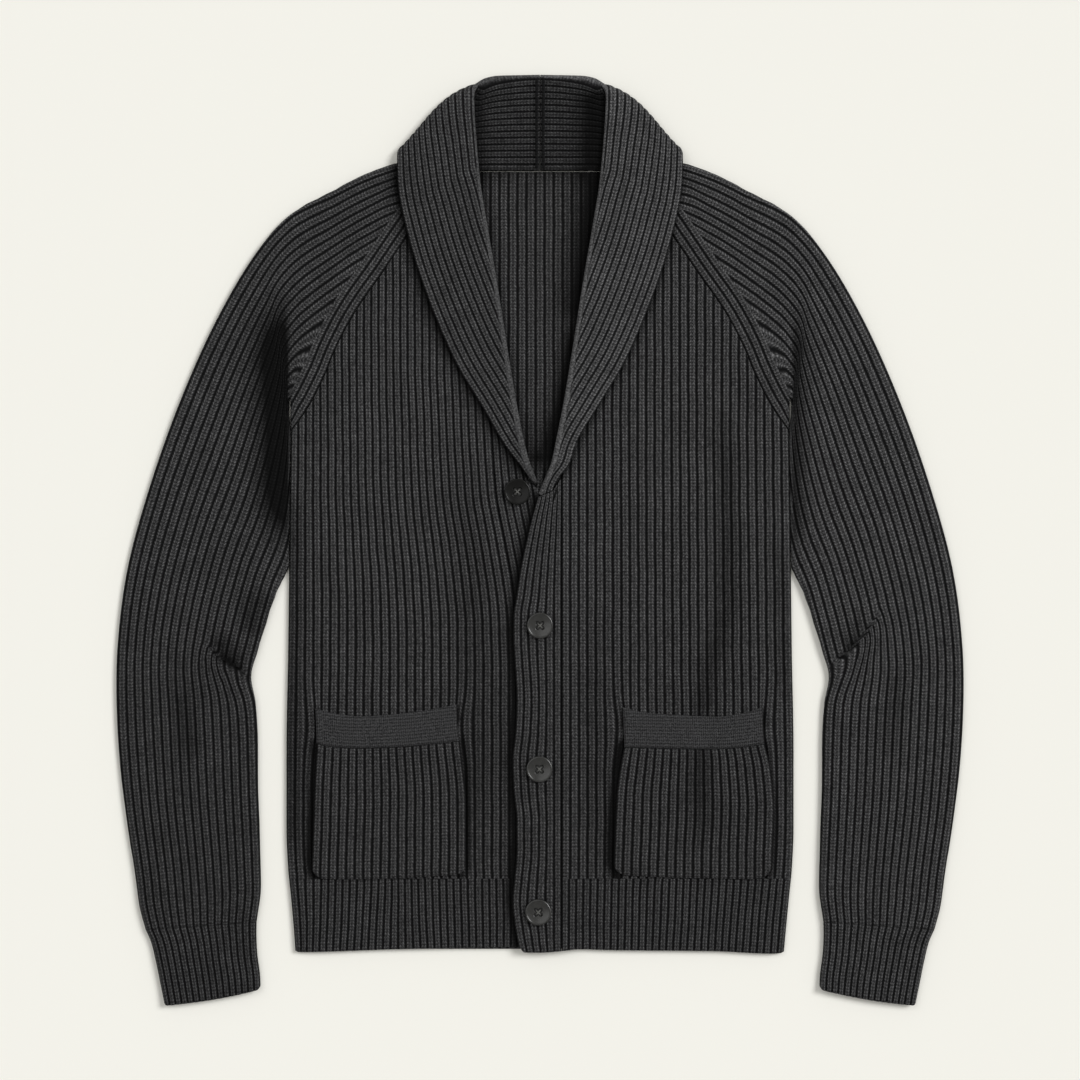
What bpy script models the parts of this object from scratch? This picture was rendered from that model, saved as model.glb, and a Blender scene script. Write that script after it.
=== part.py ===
"""Shawl collar cardigan in chunky rib knit, lying flat on its back, face up.

Every cloth piece is a closed wall: a plain inner face, and an outer face whose points are raised
in knitted ribs. X runs across the body, the wearer's left at +X, Y runs from hem to collar and
Z points up from the table. Tables and named sizes are in millimetres, the objects in metres.
"""

import bpy
import numpy as np

MM = 0.001

# Cloth
WALL = 2.2                    # knit between the ribs
RIB = 1.5                     # a rib stands this far above its valleys
SEAM = 0.3                    # clearance between sewn pieces
CURVED_SEAM = 1.6             # the same where both pieces follow a bend
UNDER_CLEARANCE = 1.3         # the same at the back's raglan seams, which nothing shows
LAY = 0.4                     # clearance between layers that lie on each other
FRONT_Z = WALL + RIB + LAY    # underside of the fronts, over the back
BAND_STEP = WALL + RIB + LAY  # how much higher the overlapping button band lies

# Body, measured from the centre line and from the middle of the garment's length
HEM_TOP = -311.0
BACK_HEM_BOTTOM = -376.0
SIDE_FALL = 14.0              # width over which a front comes down to its side seam
EDGE_WALL = 1.4               # cloth thickness at a free or sewn edge
BODY_RIB_PITCH = 7.9
HEM_RIB_PITCH = 6.6
NECK_RIB_PITCH = 8.56
NECK_RIB_COUNT = 15
BAND_RIBS = 6
OVER_BAND_SEAM_X = 19.5
UNDER_BAND_SEAM_X = 22.0      # the same on the other side, at the seam's straight part
UNDER_BAND_SHORTER = 2.0      # how much higher the lower band ends than the upper one

# Sleeve and cuff
SLEEVE_RIBS = 18
CUFF_RIBS = 15
RAGLAN_RIBS = 3
RAGLAN_WIDTH = 17.5
RAGLAN_END_WIDTH = 6.0        # width of the raglan ribs at the armpit
RAGLAN_NARROWING = 0.25       # share of the seam over which they narrow to it
RAGLAN_RIBS_TOP = (109.0, 345.0)
RAGLAN_RIBS_CLOSE = 0.94      # share of the seam from which they close to their end
SLEEVE_NECK_TOP = (91.3, 341.0)
SLEEVE_NECK_FALL = 17.7       # height of the sleeve's end at the neck
ARMPIT_FROM = 0.85            # share of the seam from which the armpit's clearance opens
SHOULDER_PUFF = 0.5           # share of the full puff at the shoulder's second row
CREASE_PUFF = 0.8
CUFF_PUFF = 0.6
LOWER_LAYER = (0.985, 0.95, 0.7, 0.5, 0.3, 0.05, 0.015)
LINING_ROOF = (0.0, 0.04, 0.2, 0.4, 0.6, 0.8, 0.96, 1.0)
LINING_FLOOR = (0.96, 0.7, 0.3, 0.04)
SLEEVE_LINING = (3, 6, 8, 9, 10, 11, 12, 14, 16, 17, 19)
CUFF_LINING = (0, 1, 2, 3)
FOLD_RADIUS = 6.0             # half-round of a sleeve's folded edge
ARMPIT_CLEARANCE = 2.0
LINING_INSET = 2.8            # from a folded edge to the hollow inside it
LINING_LIP = 0.5              # how far the hollow's lower end reaches past the tube's
PUFF = 1.3                    # how far a sleeve's upper layer stands up at its middle
CUFF_BOW = 4.0

# Collar
STAND_RIBS = 14
LAPEL_RIBS = 12
LAPEL_RIB_PITCH = 6.6
ROLL_STEPS = 4
CROWDED = 0.15                # spacing of rib lines that run out under the roll

# Pockets
POCKET_RIBS = 18
POCKET_BAND_WALL = 3.2

# Buttons
BUTTON_RADIUS = 12.0
BUTTON_THICKNESS = 3.6
BUTTON_RIM = 2.6
BUTTON_DISH = 1.0
BUTTON_HOLE_RADIUS = 1.1
BUTTON_HOLE_REACH = 2.3
BUTTON_SIDES = 18


def table(columns, *rows):
    """Short table of sizes: a dictionary with one array for each named column."""
    values = np.array(rows, dtype=float)
    return {name: values[:, i] for i, name in enumerate(columns.split())}


# Half width of the body at a height
SIDE = table("y x",
             (-380, 224.0), (-358, 226.0), (-322, 229.5), (-303, 231.4), (-266, 233.0),
             (-193, 233.0), (-100, 231.4), (-20, 230.5), (100, 228.8))

# Raglan seam from the neck to the armpit
RAGLAN = table("x y",
               (91.0, 323), (106.0, 302), (125.6, 273.7), (144.9, 245.2), (169.3, 210.2),
               (187.2, 176.6), (197.3, 152.3), (213.0, 121.9), (228.8, 99.8))

# Neck seam of the fronts, under the lapels
FRONT_NECK = table("x y",
                   (0, 45.5), (4, 48.5), (8, 52), (16.5, 65), (24, 82), (31, 101),
                   (40, 125.5), (53, 169), (66, 225), (73, 258), (77, 281), (80, 299),
                   (91, 323))
BACK_NECK = table("x y", (0, 338.6), (55, 338.6), (70, 336.5), (80, 332), (91, 323))

# Seam between the right-hand front and the band that lies under, and that band's free edge
UNDER_SEAM = table("y x",
                   (-380, -20.5), (-120, -21.0), (-78, -22.0), (-40, -26.0), (0, -33.0),
                   (44, -41.0), (120, -46.0), (160, -48.0))
UNDER_EDGE = table("y x",
                   (-380, 20.5), (-78, 20.5), (-40, 16.0), (0, 8.5), (44, 0.0), (70, -4.0),
                   (120, -12.0), (160, -18.0))

# Free edge of the band that lies over: it swells beside each button
OVER_EDGE = table("y x",
                  (-379, -18.0), (-366, -21.0), (-348, -23.9), (-331, -25.3), (-312, -23.8),
                  (-285, -21.6), (-258, -21.6), (-228, -24.4), (-202, -25.3), (-175, -22.6),
                  (-147, -21.6), (-110, -23.4), (-90, -24.5), (-70, -24.4), (-51, -21.6),
                  (-27, -17.9), (13, -9.2), (40, -1.8))
OVER_TOP = table("x y", (-4, 38.0), (3, 40.3), (12, 45.2), (16, 51.0), (20, 57.0))
OVER_BOTTOM = table("x y", (-25, -371), (-19, -374), (-14, -378.5), (0, -378.6), (20, -377.2))

# Bottom edge of the two hems
HEM_BOTTOM = table("x y",
                   (-226, -378.6), (-125, -375.8), (-30, -374.0), (20, -377.0), (33, -375.8),
                   (64, -376.7), (159, -377.7), (214, -380.0), (226, -379.6))

# Sleeve below the shoulder crease: its outer and its inner edge, section by section
ARM = table("out_x out_y in_x in_y",
            (259, 267, 231.2, 62), (298, 201, 231.2, 20), (333, 122, 231.8, -19),
            (360, 45, 243.5, -50), (380, -30, 256.0, -92), (388.6, -100, 265.0, -128),
            (389.4, -150, 260.6, -152), (383, -235, 258.5, -235), (371, -320, 257.3, -312),
            (360.5, -357.5, 261.0, -352.5))
CUFF = table("out_x out_y in_x in_y",
             (359.5, -361.0, 260.8, -353.6), (352.5, -392, 259.4, -382),
             (348.0, -413, 257.6, -401), (344.0, -427.5, 256.8, -412))

# Where the rows of a sleeve's upper part cross its ribs: share of the ribs, then the place on
# the seam, and the crease over the arm's top
SLEEVE_SEAM_SHARE = table("u arc", (0.10, 0.0), (0.30, 0.225), (1.0, 1.0))
CREASE = table("u x y", (0.0, 235.0, 294.5), (0.3, 236.0, 247.0), (0.86, 239.0, 122.0),
               (1.0, 231.2, 82.0))
RAGLAN_RIBS_END = (231.4, 94.5)
SHOULDER_ROWS = table("along lift", (0.27, 13.6), (0.6, 10.0))

# Soft folds of the fronts: a crest or trough that runs along the body
FRONT_FOLDS = table("x y_from y_to width lift",
                    (196, -290, 60, 26, 1.3), (140, -300, 130, 22, 1.1),
                    (-150, -280, 90, 48, 1.0), (80, -150, 60, 26, 0.8))

# One half of the shawl collar, from the middle of the back to where it meets the button band.
# Each row: the middle of the roll, the free edge and the neck seam; the roll's radius; turn, from
# 0 where the stand lies on the fall to 180 where the lapel lies on the stand; the way that the
# roll bulges.
COLLAR_COLUMNS = "roll_x roll_y roll_z edge_x edge_y edge_z neck_x neck_y neck_z radius turn bulge"
COLLAR_ROWS = (
    (0.2, 425.2, 2.55, 0.2, 346, 1.1, 0.2, 339.2, 2.3, 1.45, 0, 90),
    (40, 424.9, 2.55, 60, 346, 1.1, 44, 339.2, 2.3, 1.45, 0, 90),
    (51, 424, 2.55, 94, 348, 1.1, 66, 338.5, 2.6, 1.45, 0, 88),
    (57.5, 422.4, 2.55, 118, 352, 1.1, 78, 336.4, 3.6, 1.45, 0, 82),
    (61.8, 421.2, 3.56, 124.5, 356.5, 2.4, 81.2, 335.0, 4.3, 1.45, 45, 65),
    (63.6, 420.6, 6.0, 128.7, 358, 5.7, 82.6, 332.4, 5.8, 1.45, 90, 45),
    (64.5, 416.5, 8.44, 130.6, 354, 8.9, 82.2, 330.0, 7.2, 1.45, 135, 22),
    (64.2, 409, 9.45, 131, 346.5, 10.3, 81.0, 327, 7.7, 1.45, 180, 6),
    (63, 396, 9.45, 130.7, 334, 10.3, 80, 317.5, 7.4, 1.45, 180, 6),
    (61.2, 373, 9.45, 129.8, 321, 10.2, 78.6, 306, 6.8, 1.45, 180, 6),
    (59.2, 349, 9.45, 127.3, 306, 10.0, 77, 293, 6.0, 1.45, 180, 7),
    (56.5, 323, 8.6, 123, 287, 9.7, 74.5, 274, 5.4, 1.6, 180, 8),
    (51.5, 290, 7.5, 114.5, 256, 9.4, 69, 243, 5.2, 2.0, 180, 9),
    (43, 240, 7.25, 99, 212, 9.3, 58.5, 195, 5.2, 2.05, 180, 9),
    (34, 183, 7.25, 77, 162, 9.3, 45.5, 145, 5.2, 2.05, 180, 9),
    (25.5, 131, 7.25, 53, 122, 9.3, 33.5, 111, 5.2, 2.05, 180, 10),
    (17.5, 90, 7.25, 33, 88, 9.3, 24.3, 86.5, 5.2, 2.05, 180, 11),
)
LEFT_TIP_ROWS = (
    (12.3, 70.5, 7.25, 20.2, 71, 9.3, 16.6, 69.5, 5.2, 2.05, 180, 15),
    (4.8, 52, 7.25, 9.2, 56, 9.3, 8.2, 55.5, 5.2, 2.05, 180, 30),
)
RIGHT_TIP_ROWS = (
    (13.4, 71, 7.25, 27, 69.5, 9.3, 17.5, 69.8, 5.2, 2.05, 180, 12),
    (8.0, 57.5, 7.25, 18, 58, 9.3, 12.6, 57.5, 5.2, 2.05, 180, 20),
    (2.6, 43.5, 7.25, 11.5, 47, 9.3, 9.5, 46.5, 5.2, 2.05, 180, 25),
)

# Patch pockets: the ribbed bag and the plain-knit band on its mouth
POCKETS = {
    "left": {
        "bag_in": table("y x", (-312, -70.0), (-299, -68.0), (-243, -68.0), (-186, -73.5)),
        "bag_out": table("y x", (-312, -204.0), (-300, -209.3), (-276, -208.4), (-227, -206.8),
                         (-186, -204.5)),
        "bag_bottom": table("x y", (-210, -303), (-203, -309.6), (-183, -311.4),
                            (-141, -310.5), (-92, -308.2), (-73, -306), (-67, -301)),
        "mouth": table("x y", (-205, -186), (-198, -188.6), (-166, -191), (-125, -189.5),
                       (-92, -186.3), (-73, -184.3)),
        "band_in": table("y x", (-192, -73.0), (-171, -75.9), (-150, -76.6)),
        "band_out": table("y x", (-192, -204.7), (-154, -206.0)),
        "band_top": table("x y", (-206, -154.7), (-185, -159.6), (-166, -161.8),
                          (-141, -160.5), (-116, -157.8), (-92, -154.1), (-76, -150.6)),
    },
    "right": {
        "bag_in": table("y x", (-309, 71.0), (-296, 67.6), (-272, 68.5), (-232, 70.4),
                        (-201, 74.8), (-188, 77.5)),
        "bag_out": table("y x", (-311, 207.0), (-288, 213.0), (-248, 214.5), (-209, 211.1),
                         (-188, 206.0)),
        "bag_bottom": table("x y", (67, -300), (74, -306.8), (95, -308.7), (143, -310.2),
                            (191, -311.1), (206, -308.7), (213, -303)),
        "mouth": table("x y", (77, -190.2), (112, -191), (159, -191.7), (198, -188.4),
                       (207, -186.5)),
        "band_in": table("y x", (-192, 77.5), (-153, 75.9)),
        "band_out": table("y x", (-192, 205.0), (-164, 204.1), (-153, 203.3)),
        "band_top": table("x y", (75, -153), (95, -158.1), (127, -160.5), (162, -162.0),
                          (187, -158.7), (205, -152.8)),
    },
}

# The top button is undone and lies on the under band; the others close the over band
BUTTONS = table("x y over", (-20.7, 44.2, 0), (0.0, -78.3, 1), (-0.5, -209.9, 1),
                (-1.6, -340.9, 1))

CHARCOAL = (0.026, 0.026, 0.027, 1.0)
CHARCOAL_LIGHT = (0.032, 0.032, 0.033, 1.0)
BUTTON_GREY = (0.018, 0.018, 0.018, 1.0)


# ---------------------------------------------------------------- curves and walls

def follow(tab, key, column, at):
    """Smooth curve through a table's column, without overshoot, read at values of its key."""
    xs = tab[key]
    ys = tab[column]
    at = np.clip(np.asarray(at, dtype=float), xs[0], xs[-1])
    step = np.diff(xs)
    slope = np.diff(ys) / step
    tangent = np.concatenate(([slope[0]], np.zeros(len(xs) - 2), [slope[-1]]))
    before, after = slope[:-1], slope[1:]
    same = before * after > 0
    tangent[1:-1][same] = 2 * before[same] * after[same] / (before[same] + after[same])
    i = np.clip(np.searchsorted(xs, at, side="right") - 1, 0, len(xs) - 2)
    t = (at - xs[i]) / step[i]
    rise = ys[i] + (ys[i + 1] - ys[i]) * (3 - 2 * t) * t ** 2
    return rise + step[i] * t * (1 - t) * (tangent[i] * (1 - t) - tangent[i + 1] * t)


def ease(t):
    """0 below 0, 1 above 1, and a smooth step between."""
    t = np.clip(t, 0.0, 1.0)
    return t * t * (3 - 2 * t)


def rib_columns(count):
    """Shares across a panel and rib heights, 0 in a valley and 1 on a crest."""
    u = np.linspace(0.0, 1.0, 2 * count + 1)
    return u, np.arange(2 * count + 1) % 2.0


class Wall:
    """Collects the points and faces of one closed cloth wall."""

    def __init__(self):
        self.points = []
        self.faces = []
        self.count = 0

    def grid(self, points, closed=False, flip=False):
        """Adds a grid of points (rows, columns, 3), and returns its point numbers."""
        rows, columns, _ = points.shape
        numbers = self.count + np.arange(rows * columns).reshape(rows, columns)
        self.points.append(points.reshape(-1, 3))
        self.count += rows * columns
        ring = np.concatenate((numbers, numbers[:, :1]), axis=1) if closed else numbers
        quads = np.stack((ring[:-1, :-1], ring[:-1, 1:], ring[1:, 1:], ring[1:, :-1]), axis=-1)
        quads = quads.reshape(-1, 4)
        self.faces += (quads[:, ::-1] if flip else quads).tolist()
        return numbers

    def stitch(self, first, first_at, second, second_at):
        """Joins two rows of points with triangles, in step with their places along the edge."""
        i = j = 0
        while i < len(first) - 1 or j < len(second) - 1:
            ahead = j == len(second) - 1
            if i < len(first) - 1 and (ahead or first_at[i + 1] <= second_at[j + 1]):
                self.faces.append([int(first[i]), int(first[i + 1]), int(second[j])])
                i += 1
            else:
                self.faces.append([int(first[i]), int(second[j + 1]), int(second[j])])
                j += 1

    def make(self, name, material, parent):
        """Makes the object, in metres."""
        mesh = bpy.data.meshes.new(name)
        mesh.from_pydata((np.concatenate(self.points) * MM).tolist(), [], self.faces)
        mesh.validate()
        mesh.materials.append(material)
        mesh.shade_smooth()
        mesh.set_sharp_from_angle(angle=np.radians(50))
        cloth = bpy.data.objects.new(name, mesh)
        cloth.parent = parent
        bpy.context.collection.objects.link(cloth)
        return cloth


def sheet_wall(outer, outer_u, outer_v, inner, inner_u, inner_v):
    """Closed wall of an open sheet: its two faces, and the four edges between them."""
    wall = Wall()
    top = wall.grid(outer)
    low = wall.grid(inner, flip=True)
    wall.stitch(low[0], inner_u, top[0], outer_u)
    wall.stitch(top[-1], outer_u, low[-1], inner_u)
    wall.stitch(top[:, 0], outer_v, low[:, 0], inner_v)
    wall.stitch(low[:, -1], inner_v, top[:, -1], outer_v)
    return wall


def tube_wall(outer, outer_at, inner, inner_at):
    """Closed wall of a tube with open ends; the places run once round each ring."""
    wall = Wall()
    skin = wall.grid(outer, closed=True)
    lining = wall.grid(inner, closed=True, flip=True)
    around = np.append(outer_at, 1.0)
    inner_around = np.append(inner_at, 1.0)
    for row, turned in ((0, False), (-1, True)):
        ring = np.append(skin[row], skin[row][0])
        hole = np.append(lining[row], lining[row][0])
        if turned:
            wall.stitch(ring, around, hole, inner_around)
        else:
            wall.stitch(hole, inner_around, ring, around)
    return wall


# ---------------------------------------------------------------- flat panels

def panel_plan(left, right, bottom, top, u, v):
    """Plan of a panel between two side curves x(y) and two end curves y(x).

    A column keeps its share u of the width at every height, as a knitted rib does, and ends
    where it meets the end curves. Returns x and y, each (rows, columns).
    """
    def column_end(curve, guess):
        y = np.full_like(u, guess)
        for _ in range(12):
            x = left(y) + (right(y) - left(y)) * u
            y = 0.5 * y + 0.5 * curve(x)
        return y

    low = column_end(bottom, float(bottom(np.array([0.0]))[0]))
    high = column_end(top, float(top(np.array([0.0]))[0]))
    y = low[None, :] + (high - low)[None, :] * v[:, None]
    x = left(y) + (right(y) - left(y)) * u[None, :]
    return x, y


def panel(sides, ends, underside, ribs, rows, amount=None, wall=WALL):
    """Closed wall of a ribbed panel; `underside` gives the height that it lies at.

    The plain inner face has a point under each valley, on every second row.
    """
    u, crest = ribs
    v = np.asarray(rows, dtype=float)
    x, y = panel_plan(*sides, *ends, u, v)
    height = np.full_like(x, wall)
    height[:, 0] = min(wall, EDGE_WALL)
    height[:, -1] = min(wall, EDGE_WALL)
    raised = RIB * crest[None, :] * (1.0 if amount is None else amount(x, y))
    outer = np.stack((x, y, underside(x, y) + height + raised), axis=-1)
    x, y = x[::2, ::2], y[::2, ::2]
    inner = np.stack((x, y, underside(x, y)), axis=-1)
    return sheet_wall(outer, u, v, inner, u[::2], v[::2])


def side_x(y):
    return follow(SIDE, "y", "x", y)


def side_fall(x, y):
    """How far a front comes down towards its side seam."""
    return (FRONT_Z - WALL - SEAM) * (1 - ease((side_x(y) - np.abs(x)) / SIDE_FALL))


def front_folds(x, y):
    """Height of the fronts' soft folds."""
    total = np.zeros_like(x)
    folds = FRONT_FOLDS
    for i, centre in enumerate(folds["x"]):
        across = np.exp(-((x - centre) / folds["width"][i]) ** 2)
        along = ease((y - folds["y_from"][i]) / 60) * ease((folds["y_to"][i] - y) / 60)
        total = total + folds["lift"][i] * across * along
    return total


def over_step(x, y):
    """How much higher the cloth lies over the under band, and just beside it."""
    beyond = x - follow(UNDER_EDGE, "y", "x", y) - 3.0
    return BAND_STEP * (1 - ease(beyond / 20.0))


def front_underside(x, y):
    """Height of the underside of either front."""
    step = np.where(x > 0, over_step(x, y), 0.0)
    return FRONT_Z + step + front_folds(x, y) - side_fall(x, y)


def front_surface(x, y):
    """Height just clear of a front's ribs, for what is sewn onto it."""
    return front_underside(x, y) + WALL + RIB + SEAM


def front_top(x):
    """Upper edge of a front or, on the outside of the neck, its raglan seam."""
    across = np.abs(x)
    neck = follow(FRONT_NECK, "x", "y", across)
    return np.where(across < RAGLAN["x"][0], neck, follow(RAGLAN, "x", "y", across))


def back_top(x):
    across = np.abs(x)
    neck = follow(BACK_NECK, "x", "y", across)
    raglan = follow(RAGLAN, "x", "y", across) - UNDER_CLEARANCE
    return np.where(across < RAGLAN["x"][0], neck, raglan)


def constant(value):
    return lambda at: np.full_like(np.asarray(at, dtype=float), value)


def curve(tab, key, column, offset=0.0):
    return lambda at: follow(tab, key, column, at) + offset


def back_pieces():
    """Back panel, ribbed inside the neck where it shows, and its hem; undersides lie flat."""
    def flat(x, y):
        return np.zeros_like(x)

    reach = NECK_RIB_COUNT * NECK_RIB_PITCH / 2
    half = SIDE["x"].max()
    neck_u, crest = rib_columns(NECK_RIB_COUNT)
    neck_u = 0.5 + (neck_u - 0.5) * reach / half
    plain = np.linspace(0.0, neck_u[0], 11)[:-1]
    u = np.concatenate((plain, neck_u, 1 - plain[::-1]))
    crests = np.concatenate((0 * plain, crest, 0 * plain))

    def in_the_neck(x, y):
        return ease((y - 20.0) / 20.0)

    sides = (lambda y: -side_x(y), side_x)
    rows = (0, 0.5, 0.56, 0.8, 1)
    yield "back_panel", panel(sides, (constant(HEM_TOP + SEAM), back_top), flat, (u, crests),
                              rows, amount=in_the_neck)
    ends = (constant(BACK_HEM_BOTTOM), constant(HEM_TOP))
    yield "back_hem", panel(sides, ends, flat, (np.linspace(0, 1, 9), np.zeros(9)), (0, 0.5, 1))


def front_pieces():
    """The two fronts and their hems. Left and right are as seen from the front."""
    def seam_left(y):
        return follow(UNDER_SEAM, "y", "x", y)

    sides = {
        "left": (lambda y: -side_x(y), seam_left),
        "right": (constant(OVER_BAND_SEAM_X + SEAM), side_x),
    }
    width = {"left": SIDE["x"].max() - UNDER_BAND_SEAM_X, "right": SIDE["x"].max() - OVER_BAND_SEAM_X}
    rows = {
        "left": (0, 0.15, 0.34, 0.505, 0.587, 0.675, 0.77, 0.88, 1),
        "right": (0, 0.12, 0.3, 0.48, 0.66, 0.84, 1),
    }
    for hand, pair in sides.items():
        ribs = rib_columns(round(width[hand] / BODY_RIB_PITCH))
        yield f"front_{hand}", panel(pair, (constant(HEM_TOP + SEAM), front_top),
                                     front_underside, ribs, rows[hand])
        hem = rib_columns(round(width[hand] / HEM_RIB_PITCH))
        ends = (curve(HEM_BOTTOM, "x", "y"), constant(HEM_TOP))
        yield f"hem_{hand}", panel(pair, ends, front_underside, hem, (0, 0.4, 1))


def band_pieces():
    """The two button bands."""
    def level(x, y):
        return np.full_like(x, FRONT_Z)

    def raised(x, y):
        return FRONT_Z + over_step(x, y)

    def under_top(x):
        return follow(FRONT_NECK, "x", "y", -x)

    ribs = rib_columns(BAND_RIBS)
    rows = np.linspace(0, 1, 15)
    sides = (curve(UNDER_SEAM, "y", "x", CURVED_SEAM), curve(UNDER_EDGE, "y", "x"))
    ends = (curve(OVER_BOTTOM, "x", "y", UNDER_BAND_SHORTER), under_top)
    yield "band_under", panel(sides, ends, level, ribs, rows)
    sides = (curve(OVER_EDGE, "y", "x"), constant(OVER_BAND_SEAM_X))
    ends = (curve(OVER_BOTTOM, "x", "y"), curve(OVER_TOP, "x", "y"))
    rows = np.linspace(0, 1, 17)
    yield "band_over", panel(sides, ends, raised, ribs, rows)


def pocket_pieces():
    """Patch pockets with their mouth bands, made from the points of the fronts."""
    for hand, cut in POCKETS.items():
        first, last = ("out", "in") if hand == "left" else ("in", "out")
        bag = (curve(cut[f"bag_{first}"], "y", "x"), curve(cut[f"bag_{last}"], "y", "x"))
        ends = (curve(cut["bag_bottom"], "x", "y"), curve(cut["mouth"], "x", "y", -SEAM))
        rows = (0, 0.05, 0.5, 0.95, 1)
        yield f"pocket_{hand}", panel(bag, ends, front_surface, rib_columns(POCKET_RIBS), rows)
        band = (curve(cut[f"band_{first}"], "y", "x"), curve(cut[f"band_{last}"], "y", "x"))
        ends = (curve(cut["mouth"], "x", "y"), curve(cut["band_top"], "x", "y"))
        plain = (np.linspace(0, 1, 15), np.zeros(15))
        yield f"pocket_band_{hand}", panel(band, ends, front_surface, plain, (0, 0.1, 0.5, 0.9, 1),
                                           wall=POCKET_BAND_WALL)


# ---------------------------------------------------------------- sleeves and cuffs

def raglan_point(u):
    """Place on the raglan seam for a share of the sleeve's ribs, and the way out from it."""
    fine = np.linspace(RAGLAN["x"][0], RAGLAN["x"][-1], 200)
    line = np.stack((fine, follow(RAGLAN, "x", "y", fine)), axis=-1)
    length = np.concatenate(([0.0], np.cumsum(np.linalg.norm(np.diff(line, axis=0), axis=1))))
    arc = follow(SLEEVE_SEAM_SHARE, "u", "arc", u) * length[-1]
    point = np.stack([np.interp(arc, length, line[:, i]) for i in (0, 1)], axis=-1)
    ahead = np.stack([np.interp(arc + 4, length, line[:, i]) for i in (0, 1)], axis=-1)
    behind = np.stack([np.interp(arc - 4, length, line[:, i]) for i in (0, 1)], axis=-1)
    along = (ahead - behind) / np.linalg.norm(ahead - behind, axis=1, keepdims=True)
    out = np.stack((-along[:, 1], along[:, 0]), axis=-1)
    return point, out


def sleeve_seam(u):
    """The sleeve's own raglan edge: round the neck end first, then down the seam."""
    point, out = raglan_point(u)
    clear = SEAM + ARMPIT_CLEARANCE * ease((u - ARMPIT_FROM) / (1.0 - ARMPIT_FROM))
    seam = point + out * clear[:, None]
    neck = u < SLEEVE_SEAM_SHARE["u"][0]
    share = u / SLEEVE_SEAM_SHARE["u"][0]
    top_x, top_y = SLEEVE_NECK_TOP
    end = np.stack((top_x + 0 * share, top_y - SLEEVE_NECK_FALL * share), axis=-1)
    seam[neck] = end[neck]
    return seam


def raglan_edge(u):
    """Where the ribs along the raglan seam end and the sleeve's own ribs begin."""
    point, out = raglan_point(u)
    narrowing = ease((1.0 - u) / RAGLAN_NARROWING)
    width = RAGLAN_END_WIDTH + (RAGLAN_WIDTH - RAGLAN_END_WIDTH) * narrowing
    edge = point + out * width[:, None]
    share = np.clip(u / SLEEVE_SEAM_SHARE["u"][0], 0, 1)[:, None]
    top = np.array(RAGLAN_RIBS_TOP)
    edge = np.where(share < 1, top + (edge - top) * share, edge)
    late = np.clip((u - RAGLAN_RIBS_CLOSE) / (1.0 - RAGLAN_RIBS_CLOSE), 0, 1)[:, None]
    return edge + (np.array(RAGLAN_RIBS_END) - edge) * late ** 3


def shoulder_row(u, along, lift):
    """A row between the raglan ribs and the crease, lifted to the shoulder's slope."""
    start = raglan_edge(u)
    end = crease(u)
    row = start + (end - start) * along
    row[:, 1] += lift * np.clip(1 - (u / SLEEVE_SEAM_SHARE["u"][1]) ** 2, 0, 1)
    return row


def crease(u):
    return np.stack((follow(CREASE, "u", "x", u), follow(CREASE, "u", "y", u)), axis=-1)


def sleeve_plan(u):
    """Plan of the sleeve's rows at the shares u, and how raised each kind of rib is there.

    Returns the rows (rows, columns, 2), the height of the ribs that run down the sleeve and
    of those that run along the raglan seam, and how far the cloth puffs up.
    """
    seam = sleeve_seam(u)
    edge = raglan_edge(u)
    rows = []
    kinds = []
    for step in range(2 * RAGLAN_RIBS + 1):
        share = step / (2 * RAGLAN_RIBS)
        rows.append(seam + (edge - seam) * share)
        kinds.append((0.0, step % 2, 0.0))
    for i, along in enumerate(SHOULDER_ROWS["along"]):
        rows.append(shoulder_row(u, along, SHOULDER_ROWS["lift"][i]))
        kinds.append((1.0, 0.0, SHOULDER_PUFF * i))
    rows.append(crease(u))
    kinds.append((1.0, 0.0, CREASE_PUFF))
    for i in range(len(ARM["out_x"])):
        rows.append(cross_line(ARM, i, u))
        kinds.append((1.0, 0.0, 1.0))
    kinds = np.array(kinds)
    return np.array(rows), kinds[:, 0], kinds[:, 1], kinds[:, 2]


def cross_line(tab, i, u, bow=0.0):
    """Points across a sleeve or cuff at one section of its table."""
    outside = np.array((tab["out_x"][i], tab["out_y"][i]))
    inside = np.array((tab["in_x"][i], tab["in_y"][i]))
    line = outside + (inside - outside) * u[:, None]
    line[:, 1] -= bow * 4 * u * (1 - u)
    return line


def cuff_plan(u):
    """Plan of the cuff's rows; its lower edge bows out."""
    last = len(CUFF["out_x"]) - 1
    rows = np.array([cross_line(CUFF, i, u, CUFF_BOW * i / last) for i in range(last + 1)])
    ones = np.ones(last + 1)
    return rows, ones, 0 * ones, CUFF_PUFF * ones


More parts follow.
